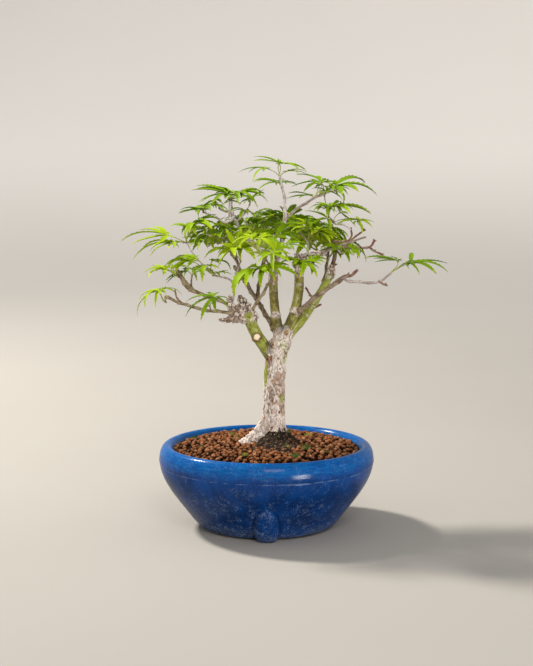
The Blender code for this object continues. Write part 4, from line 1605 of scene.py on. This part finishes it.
class Foliage:
    """Leaves by tint, and their stalks."""

    def __init__(self, rng):
        self.rng = rng
        self.shapes = {
            (droop, widest): [leaf_shape(rng, droop, widest) for _ in range(LEAVES_EACH)]
            for droop in DROOPS
            for widest in (BROAD, SLIM, THIN)
        }
        self.tints = {}
        self.masses = {}
        self.stalks = Heap()
        self.count = 0

    def add_leaf(self, hub, azimuth, length, droop, tint, mass, pitch, roll):
        widest = SLIM if mass in SLIM_MASSES else BROAD
        if mass in THIN_MASSES or tint == "young":
            widest = THIN
        points, faces, tips = self.shapes[droop, widest][self.rng.integers(LEAVES_EACH)]
        a, p, r = radians(azimuth), radians(pitch), radians(roll)
        x, y, z = (points * length).T
        y, z = y * cos(r) - z * sin(r), y * sin(r) + z * cos(r)
        x, z = x * cos(p) - z * sin(p), x * sin(p) + z * cos(p)
        turned = np.stack([x * cos(a) - y * sin(a), x * sin(a) + y * cos(a), z], -1)
        self.tints.setdefault(tint, Heap()).add(turned + hub, faces, finish=tips)
        self.masses.setdefault(tint, set()).add(mass)
        self.count += 1

    def add_stalk(self, start, ahead, hub, azimuth):
        """A thin stalk from the twig to the leaf's hub."""
        length = np.linalg.norm(hub - start)
        way = (hub - start) / max(length, 1e-6)
        out, arrive = unit(ahead + way + UP * 0.2), unit(heading(azimuth, 5) + way * 0.8)
        path = arc_between(start, out * length, hub, arrive * length, len(STALK_RADII))
        points, faces, _, _ = tube(path, STALK_RADII, 5)
        self.stalks.add(points, faces)


# Sprays that give the crown its outline: mass, tint, the twig's end, then each leaf's hub,
# azimuth, length and droop, and at times its pitch and roll. Places and lengths in millimetres.
LEADING = (
    ("foliage_top", "fresh", (11, 0, 328), (
        ((11, 0, 340), 172, 28, 18, 8, 0), ((12, -2, 339), 8, 32, 38), ((-1, 0, 335), 184, 28, 58),
        ((19, -3, 332), -28, 24, 38),
    )),
    ("foliage_top", "leafy", (13, 0, 319), (
        ((9, -4, 322), 190, 27, 38), ((15, 3, 322), 5, 21, 38), ((12, 6, 323), 100, 20, 58),
    )),
    ("foliage_top_right", "leafy", (46, 0, 307), (
        ((50, 0, 323), 176, 31, 18), ((52, 2, 322), 20, 24, 38), ((64, 0, 319), -4, 54, 38),
        ((63, -4, 317), -62, 24, 58), ((40, -3, 310), 186, 25, 18),
    )),
    ("foliage_upper_left", "leafy", (-32, 12, 305), (
        ((-36, 10, 311), 176, 47, 18, 9, 0), ((-36, 4, 311), 214, 34, 38),
        ((-24, 8, 312), -6, 35, 58), ((-26, 0, 312), -52, 32, 58), ((-32, 20, 312), 104, 30, 38),
    )),
    ("foliage_upper_left", "leafy", (-59, 14, 295), (
        ((-56, 10, 297), 182, 32, 18, -6, 0), ((-62, 6, 296), 220, 26, 58),
        ((-56, 20, 299), 100, 24, 38), ((-54, 6, 301), -50, 24, 38),
    )),
    ("foliage_upper_left", "fresh", (-20, 10, 295), (
        ((-8, 4, 288), 84, 22, 18), ((-10, 2, 293), -20, 26, 38), ((-20, 2, 296), -110, 24, 58),
    )),
    ("foliage_left_shoulder", "fresh", (-74, 0, 267), (
        ((-68, -2, 284), 230, 24, 80), ((-66, 0, 284), -12, 31, 38), ((-66, -6, 284), -58, 31, 80),
        ((-72, 8, 280), 110, 26, 38),
    )),
    ("foliage_far_left", "bright", (-76, -4, 267), (
        ((-91, -12, 274), 186, 52, 38), ((-84, -20, 268), 200, 44, 58),
        ((-86, -22, 267), 232, 28, 58),
    )),
    ("foliage_mid_left", "fresh", (-49, -10, 238), (
        ((-66, -12, 253), 186, 34, 58), ((-68, -16, 250), 206, 31, 38),
        ((-55, -16, 246), 250, 28, 80), ((-50, -4, 250), 30, 24, 58),
        ((-44, -16, 240), -50, 20, 58),
    )),
    ("foliage_mid_left", "bright", (-82, 4, 234), (
        ((-95, -6, 243), 182, 28, 38), ((-92, -10, 242), 228, 24, 80), ((-86, 4, 244), 20, 22, 58),
        ((-90, 10, 242), 120, 26, 38),
    )),
    ("foliage_low_left", "bright", (-92, -26, 214), (
        ((-99, -30, 225), 190, 34, 80, -22, 0), ((-98, -34, 224), 232, 28, 80),
        ((-95, -28, 226), 4, 22, 80),
    )),
    ("foliage_low_left", "leafy", (-52, -16, 209), (
        ((-48, -22, 218), 194, 44, 58, -20, 0), ((-46, -22, 217), -50, 20, 80),
    )),
    ("foliage_centre_left", "bright", (-24, -14, 250), (
        ((-27, -30, 264), 218, 34, 38), ((-27, -31, 264), 104, 25, 18, 62, 8),
        ((-22, -28, 264), -58, 26, 38), ((-36, -18, 262), 186, 26, 38),
    )),
    ("foliage_centre_left", "bright", (0, -26, 252), (
        ((4, -34, 264), -30, 24, 38), ((-6, -28, 266), 160, 20, 18),
    )),
    ("foliage_centre_left", "young", (-2, -32, 250), (
        ((-4, -40, 259), 84, 23, 18, 64, 0), ((0, -38, 258), 52, 21, 18, 52, 10),
    )),
    ("foliage_hanging", "fresh", (-4, -34, 240), (
        ((-6, -45, 246), 204, 40, 58), ((-4, -47, 246), 262, 24, 80), ((0, -44, 247), -12, 30, 38),
    )),
    ("foliage_front_right", "fresh", (34, -26, 242), (
        ((30, -38, 251), -40, 27, 38), ((34, -37, 251), -84, 26, 80), ((28, -34, 252), 214, 26, 38),
        ((40, -30, 252), 14, 24, 38),
    )),
    ("foliage_heart", "bright", (38, 0, 268), (
        ((45, -14, 277), -60, 30, 38), ((46, -12, 278), -4, 36, 38), ((42, -10, 278), 196, 28, 38),
        ((40, 4, 280), 110, 26, 38),
    )),
    ("foliage_right_upper", "fresh", (58, 4, 290), (
        ((57, 2, 300), 186, 26, 38), ((60, -2, 299), -28, 40, 38), ((62, 4, 300), 16, 28, 38),
        ((56, -6, 298), -98, 24, 58), ((60, 12, 299), 84, 26, 38),
    )),
    ("foliage_right_upper", "bright", (91, 8, 277), (
        ((84, 6, 287), 168, 24, 38), ((84, 2, 286), -34, 22, 80),
    )),
    ("foliage_right_low", "leafy", (64, 18, 250), (
        ((62, 10, 258), 206, 20, 58), ((68, 12, 258), -50, 20, 58), ((66, 26, 258), 80, 24, 38),
    )),
    ("foliage_far_right", "leafy", (113, -28, 240.5), (
        ((119, -28, 252), 182, 38, 18), ((131, -28, 250), -2, 42, 38),
        ((127, -29, 250), -56, 22, 80),
    )),
)

# The outer masses, whose leaves are slender, and those whose leaves are thinnest.
SLIM_MASSES = (
    "foliage_top_right", "foliage_upper_left", "foliage_right_upper", "foliage_mid_left",
    "foliage_front",
)
THIN_MASSES = ("foliage_top", "foliage_far_left", "foliage_low_left", "foliage_far_right")

# Twig ends that fill the crown from every side: mass, leaves on each, then the ends.
FILLING = (
    ("foliage_heart", 4, ((8, -6, 268), (30, 6, 278))),
    ("foliage_centre_left", 3, ((-14, -2, 272), (-38, 4, 270))),
    ("foliage_front", 2, ((14, -46, 264), (-10, -52, 268), (6, -66, 258))),
    ("foliage_right_upper", 2, ((62, 14, 284),)),
    ("foliage_right_low", 3, ((70, -2, 256),)),
    ("foliage_top_right", 3, ((54, 10, 309),)),
    ("foliage_upper_left", 2, ((-44, 22, 297), (-16, 24, 300))),
    ("foliage_left_shoulder", 2, ((-56, 16, 274),)),
    ("foliage_mid_left", 3, ((-70, 18, 234),)),
    ("foliage_back_left", 4, (
        (-30, 48, 260), (-48, 62, 262), (-38, 82, 266), (-18, 72, 274), (-58, 80, 258),
        (-52, 46, 268),
    )),
    ("foliage_back_centre", 4, (
        (0, 56, 272), (12, 80, 272), (30, 70, 278), (-6, 86, 264), (36, 86, 266), (14, 44, 282),
    )),
    ("foliage_back_right", 4, (
        (42, 50, 260), (58, 58, 266), (50, 82, 258), (64, 76, 256), (66, 44, 258), (52, 36, 274),
    )),
)
CROWN_MIDDLE = np.array((10, 20)) * MM
CROWN_LEVEL, CROWN_REACH = 250 * MM, 90 * MM
# Leaf tints, body and tip: painted light and shade, from the lit bright tint down to the darkest,
# shaded one; young is the young leaves' own colour
TINTS = {
    "bright": ((0.31, 0.43, 0.008), (0.44, 0.52, 0.03)),
    "young": ((0.44, 0.50, 0.09), (0.52, 0.56, 0.14)),
    "fresh": ((0.24, 0.37, 0.006), (0.34, 0.43, 0.018)),
    "leafy": ((0.17, 0.29, 0.005), (0.26, 0.35, 0.012)),
    "olive": ((0.10, 0.185, 0.004), (0.14, 0.21, 0.008)),
}


def tint_for(rng, height, depth):
    """Painted light and shade: sprays high up and to the front mostly get lit tints, those inside
    and behind shaded ones.
    """
    up, back = (height - CROWN_LEVEL) / CROWN_REACH, depth / CROWN_REACH
    light = up * 0.35 - back * 0.15 + rng.normal(0.30, 0.25)
    if light > 0.62:
        return "bright"
    if light > 0.25:
        return "fresh"
    return "leafy" if light > -0.15 else "olive"


def lean(rng, hub, azimuth, amount):
    """Pitch and roll that tip a leaf's top outwards from the crown's middle."""
    turn = atan2(hub[1] - CROWN_MIDDLE[1], hub[0] - CROWN_MIDDLE[0]) - radians(azimuth)
    return -amount * cos(turn) + rng.uniform(-12, 12), -amount * sin(turn) + rng.uniform(-16, 16)


def grow_crown(wood, foliage, rng):
    for mass, tint, end, leaves in LEADING:
        tip, ahead = wood.reach(np.array(end) * MM)
        for hub, azimuth, length, droop, *tilt in leaves:
            hub = np.array(hub) * MM
            if mass in SLIM_MASSES + THIN_MASSES:
                tilt = tilt[:1] or [rng.uniform(-4, 4)]
                tilt.append(8 * cos(radians(azimuth)) + rng.uniform(-10, 10))
            pitch, roll = tilt or lean(rng, hub, azimuth, 14)
            foliage.add_leaf(hub, azimuth, length * MM, droop, tint, mass, pitch, roll)
            foliage.add_stalk(tip, ahead, hub, azimuth)
        add_knot(wood.heap, tip, ahead, 1.5 * MM, rng)
    for mass, leaves, ends in FILLING:
        for end in ends:
            tip, ahead = wood.reach(np.array(end) * MM)
            first = rng.uniform(0, 360)
            for n in range(leaves):
                tint = tint_for(rng, tip[2], tip[1]) if n % 2 == 0 else tint
                azimuth = first + 180 * (n % 2) + 90 * (n // 2) + rng.uniform(-22, 22)
                hub = tip + heading(azimuth, rng.uniform(25, 60)) * rng.uniform(7, 12) * MM
                length = rng.uniform(21, 29) * MM
                droop = DROOPS[rng.integers(len(DROOPS))]
                pitch, roll = lean(rng, hub, azimuth, 24)
                foliage.add_leaf(hub, azimuth, length, droop, tint, mass, pitch, roll)
                foliage.add_stalk(tip, ahead, hub, azimuth)
            add_knot(wood.heap, tip, ahead, 1.3 * MM, rng)


# ---------------------------------------------------------------- knots of dead bark

# Lumps of scaly dead wood: each end, its radius there, flatness; in millimetres.
BURR_LUMPS = (
    ((-31, -9, 196), (-34, -10, 217), 4.6, 2.6, 1.0),
    ((-15, -9, 202), (-25, -8, 217), 4.4, 3.0, 1.0),
    ((-20, -9, 195), (-40, -12, 196), 6.2, 4.4, 0.46),
    ((-24, -10, 199), (-24, -10, 207), 6.0, 5.0, 1.0),
    ((-15, -7, 200), (-12, -6, 196), 5.4, 4.6, 1.0),
    ((28, -10, 250), (50, -9, 257), 5.4, 3.4, 0.9),
    ((29, -9, 245), (30, -9, 254), 4.8, 4.8, 1.0),
    ((61, 17, 234), (61, 17, 242), 3.6, 3.2, 1.0),
    ((8, 12, 245), (8, 12, 251), 4.6, 3.8, 1.0),
    ((6.0, -6.5, 171), (5.0, -10.2, 172.6), 2.2, 1.5, 1.0),
    ((4.4, -6.2, 160.5), (3.2, -10.6, 160.6), 3.3, 2.9, 1.0),
)


def scales_at(points, size, seed):
    """How near each point is to the edge of its scale, and a value of its own for each scale."""
    shift = Vector((seed * 3.1, seed * 7.9, seed * 1.7))
    edges, values = [], []
    for point in points / size:
        gaps, centres = noise.voronoi(Vector(point) + shift)
        edges.append(gaps[1] - gaps[0])
        values.append(abs(noise.noise(centres[0] * 5.3)) * 2)
    return np.array(edges), np.array(values).clip(0, 1)


def make_burrs(material):
    """The knots of dead scaly bark that end the left bough and two of the stems."""
    heap = Heap()
    for start, end, root, tip, flat in BURR_LUMPS:
        start, end = np.array(start) * MM, np.array(end) * MM
        t = np.linspace(0, 1, 15)
        axis = unit(end - start)
        past = 0.8 * MM
        path = start - axis * root * past + np.outer(t, end - start + axis * (root + tip) * past)
        rounded = np.sqrt(np.clip(1 - np.abs(2 * t - 1) ** 3, 0.02, 1))
        radii = (root + (tip - root) * t) * rounded * MM
        points, faces, step_of, _ = tube(path, radii, 16)
        points[:, 2] = path[step_of, 2] + (points[:, 2] - path[step_of, 2]) * flat
        heap.add(points, faces)
    mesh = one_skin(heap, "burrs", 0.5 * MM, 2)
    points, normals = points_of(mesh), normals_of(mesh)
    squashed = points * np.array((1, 1, 0.8))
    edge, value = scales_at(squashed, 3.0 * MM, 4)
    gap = 1 - smooth_step(edge, 0.03, 0.20)
    crumbs = noise_at(points, 4.5, 31, 3)
    push = (value * 1.5 - gap * 1.3 + crumbs * 1.7 - 0.5) * MM
    points = points + normals * push[:, None]
    plate = (points[:, 0] < -22 * MM) & (points[:, 2] < 200 * MM)
    scar = (np.abs(points[:, 0]) < 8.5 * MM) & (points[:, 2] < 180 * MM)
    none = np.zeros(len(points))
    # Gaps between the scales and sunken crumbs are darkened: painted shade
    crack_and_shade = np.maximum(gap * 0.8, smooth_step(-crumbs, 0.35, 0.7) * 0.6)
    pale = smooth_step(value, 0.32, 0.62) * np.where(plate | scar, 0.1, 1.0)
    values = {
        "grain": points, "green": none, "tan": none + 0.9,
        "crack_and_shade": crack_and_shade * np.where(plate, 0.4, 1), "pale": pale * (1 - gap),
        "crust": smooth_step(crumbs, 0.0, 0.3) * np.where(plate, 0.2, 0.7),
        "cut": np.where(scar, 0.30 - 0.12 * gap, 0.0), "moss": none,
    }
    return reshaped(mesh, "burrs", points, material, values), points, normals


def make_flakes(rng, spots, ways, count, material):
    """Loose bark scales that stand off the knots."""
    heap = Heap()
    corners = 7
    angles = spread_evenly(corners)
    for index in rng.choice(len(spots), count, replace=False):
        middle, out = spots[index], unit(ways[index] + rng.normal(0, 0.35, 3))
        side = unit(np.cross(out, rng.normal(0, 1, 3)))
        other = np.cross(out, side)
        size = rng.uniform(0.8, 2.0) * MM
        reach = size * rng.uniform(0.55, 1.1, corners)
        tilt = rng.uniform(-0.5, 0.9)
        lift = 0.3 * MM + tilt * (reach * np.cos(angles) + size) * 0.5
        rim = (
            middle
            + np.outer(np.cos(angles) * reach, side)
            + np.outer(np.sin(angles) * reach * 0.7, other)
            + np.outer(lift, out)
        )
        points = np.concatenate([rim, rim - out * rng.uniform(0.25, 0.5) * MM])
        faces = ends(2, corners) + bands(2, corners)
        pale = rng.uniform(0, 1)
        values = {"green": 0.0, "tan": 1.0, "crack_and_shade": 0.0 if pale > 0.3 else 0.7}
        values.update(pale=float(pale > 0.6), crust=0.4, cut=0.0, moss=0.0)
        heap.add(points, facing_out(points - middle, faces), grain=points, **values)
    return add_piece("bark_flakes", heap.mesh("bark_flakes", [material], smooth=False))


# ---------------------------------------------------------------- studio


# name, place, width, height, spread, power, colour, and the height it is aimed at
LAMPS = (
    ("key", (-1.25, 0.75, 1.75), 0.28, 0.28, 180, 70, (1.0, 0.95, 0.87), 0.2),
    ("front", (0.3, -2.1, 1.5), 0.9, 0.9, 180, 19, (1.0, 0.98, 0.95), 0.2),
    ("left", (-2.2, 0.1, 0.85), 0.4, 0.4, 180, 0.8, (1.0, 0.97, 0.93), 0.15),
    ("low", (1.24, -1.69, 0.12), 0.75, 0.13, 30, 0.45, (1.0, 0.98, 0.95), 0.06),
)
FLOOR_RADIUS, BEND_RADIUS, WALL_HEIGHT = 2.2, 1.3, 2.0


def place_in_studio(name, data, place):
    thing = bpy.data.objects.new(name, data)
    bpy.context.scene.collection.objects.link(thing)
    thing.location = place
    return thing


def make_sweep():
    """A round sweep: flat floor that turns up into a low wall all round, its far parts glowing with
    painted light.
    """
    angles = spread_evenly(96)
    rows = [(r, 0.0) for r in (0.02, 0.4, 0.9, 1.5, FLOOR_RADIUS)]
    for a in np.linspace(0, pi / 2, 13)[1:]:
        rows.append((FLOOR_RADIUS + BEND_RADIUS * sin(a), BEND_RADIUS * (1 - cos(a))))
    rows.append((FLOOR_RADIUS + BEND_RADIUS, WALL_HEIGHT))
    points = np.concatenate([circle(r, angles, z) for r, z in rows])
    count = len(angles)
    heap = Heap()
    heap.add(points, ends(len(rows), count)[:1] + bands(len(rows), count))
    paper = Finish("studio_paper", Roughness=0.9, Specular_IOR_Level=0.1, Emission_Strength=1.0)
    grain = paper.place().noise(400, 2, 0.5)
    wall = grain.mix((0.64, 0.612, 0.58), (0.67, 0.642, 0.61))
    floor = grain.mix((0.36, 0.34, 0.31), (0.39, 0.37, 0.34))
    x, y, z = paper.place().split()
    away = (x * x + y * y).root().band(0.5, 2.5)
    rise = z.band(-0.05, 0.35)
    # Painted light: the paper glows more the farther it is from the middle
    glow = away.mix((0.0, 0.0, 0.0), (0.205, 0.195, 0.182))
    paper.set(Base_Color=rise.mix(floor, wall), Emission_Color=glow)
    return add_piece("studio_sweep", heap.mesh("studio_sweep", [paper.material]))


def add_studio():
    scene = bpy.context.scene
    camera = place_in_studio("camera", bpy.data.cameras.new("camera"), CAMERA_PLACE)
    camera.data.lens = LENS_MM
    camera.data.sensor_width = SENSOR_MM
    camera.rotation_euler = (radians(90 - CAMERA_PITCH), 0, 0)
    camera.data.clip_start, camera.data.clip_end = 0.01, 30
    scene.camera = camera
    sweep = make_sweep()

    world = bpy.data.worlds.new("studio")
    scene.world = world
    world.use_nodes = True
    sky = world.node_tree.nodes["Background"]
    sky.inputs["Color"].default_value = (0.95, 0.97, 1.0, 1)
    sky.inputs["Strength"].default_value = 0.54

    for name, place, width, height, spread, power, colour, aimed in LAMPS:
        lamp = bpy.data.lights.new(name, "AREA")
        lamp.shape = "ELLIPSE"
        lamp.size, lamp.size_y = width, height
        lamp.spread = radians(spread)
        lamp.energy = power
        lamp.color = colour
        aim = Vector((0, 0, aimed)) - Vector(place)
        thing = place_in_studio(name, lamp, place)
        thing.rotation_euler = aim.to_track_quat("-Z", "Y").to_euler()
    scene.view_settings.view_transform = "Standard"


# ---------------------------------------------------------------- building


FLAKE_SEED, FLAKES = 8, 320
CROWN_SEED = 11


def main():
    add_studio()
    deliver(make_bowl(), "blue_glaze", "pot")
    deliver(make_bed_piece(), "clay_granules", "soil")
    for piece in make_granules():
        deliver(piece, "clay_granules")
    for piece in make_humus() + make_moss():
        deliver(piece, "clay_granules")

    paths = limb_paths()
    bark = make_bark()
    deliver(make_trunk(paths, bark), "bark", "trunk", *BOUGHS)
    burrs, spots, ways = make_burrs(bark)
    deliver(burrs, "bark", "burr_left")
    deliver(make_flakes(np.random.default_rng(FLAKE_SEED), spots, ways, FLAKES, bark), "bark")

    rng = np.random.default_rng(CROWN_SEED)
    wood = Wood(rng)
    for name in BOUGHS:
        wood.stations += stations_of(paths[name], *[r * MM for r in LIMBS[name][4:6]], 0.5)
    for name in THIN_LIMBS:
        wood.add_limb(name, paths[name])
    for tone, root, tip, points in BARE:
        wood.add_bare(tone, root, tip, points)
    foliage = Foliage(rng)
    grow_crown(wood, foliage, rng)
    twigs = wood.heap.mesh("twigs", [make_twig_bark()])
    deliver(add_piece("twigs", twigs), "green_bark", *THIN_LIMBS)
    green = make_plain("leaf_stalk", (0.50, 0.52, 0.14), 0.5, 2, 0.05)
    stalks = foliage.stalks.mesh("leaf_stalks", [green])
    deliver(add_piece("leaf_stalks", stalks), "leaves")
    for tint, heap in foliage.tints.items():
        body, tip = TINTS[tint]
        finishes = [make_leaf(f"leaf_{tint}", body), make_leaf(f"leaf_{tint}_tip", tip)]
        mesh = heap.mesh(f"leaves_{tint}", finishes, sharp_over=70)
        deliver(add_piece(f"leaves_{tint}", mesh), "leaves", *foliage.masses[tint])
    print("leaves", foliage.count)


main()
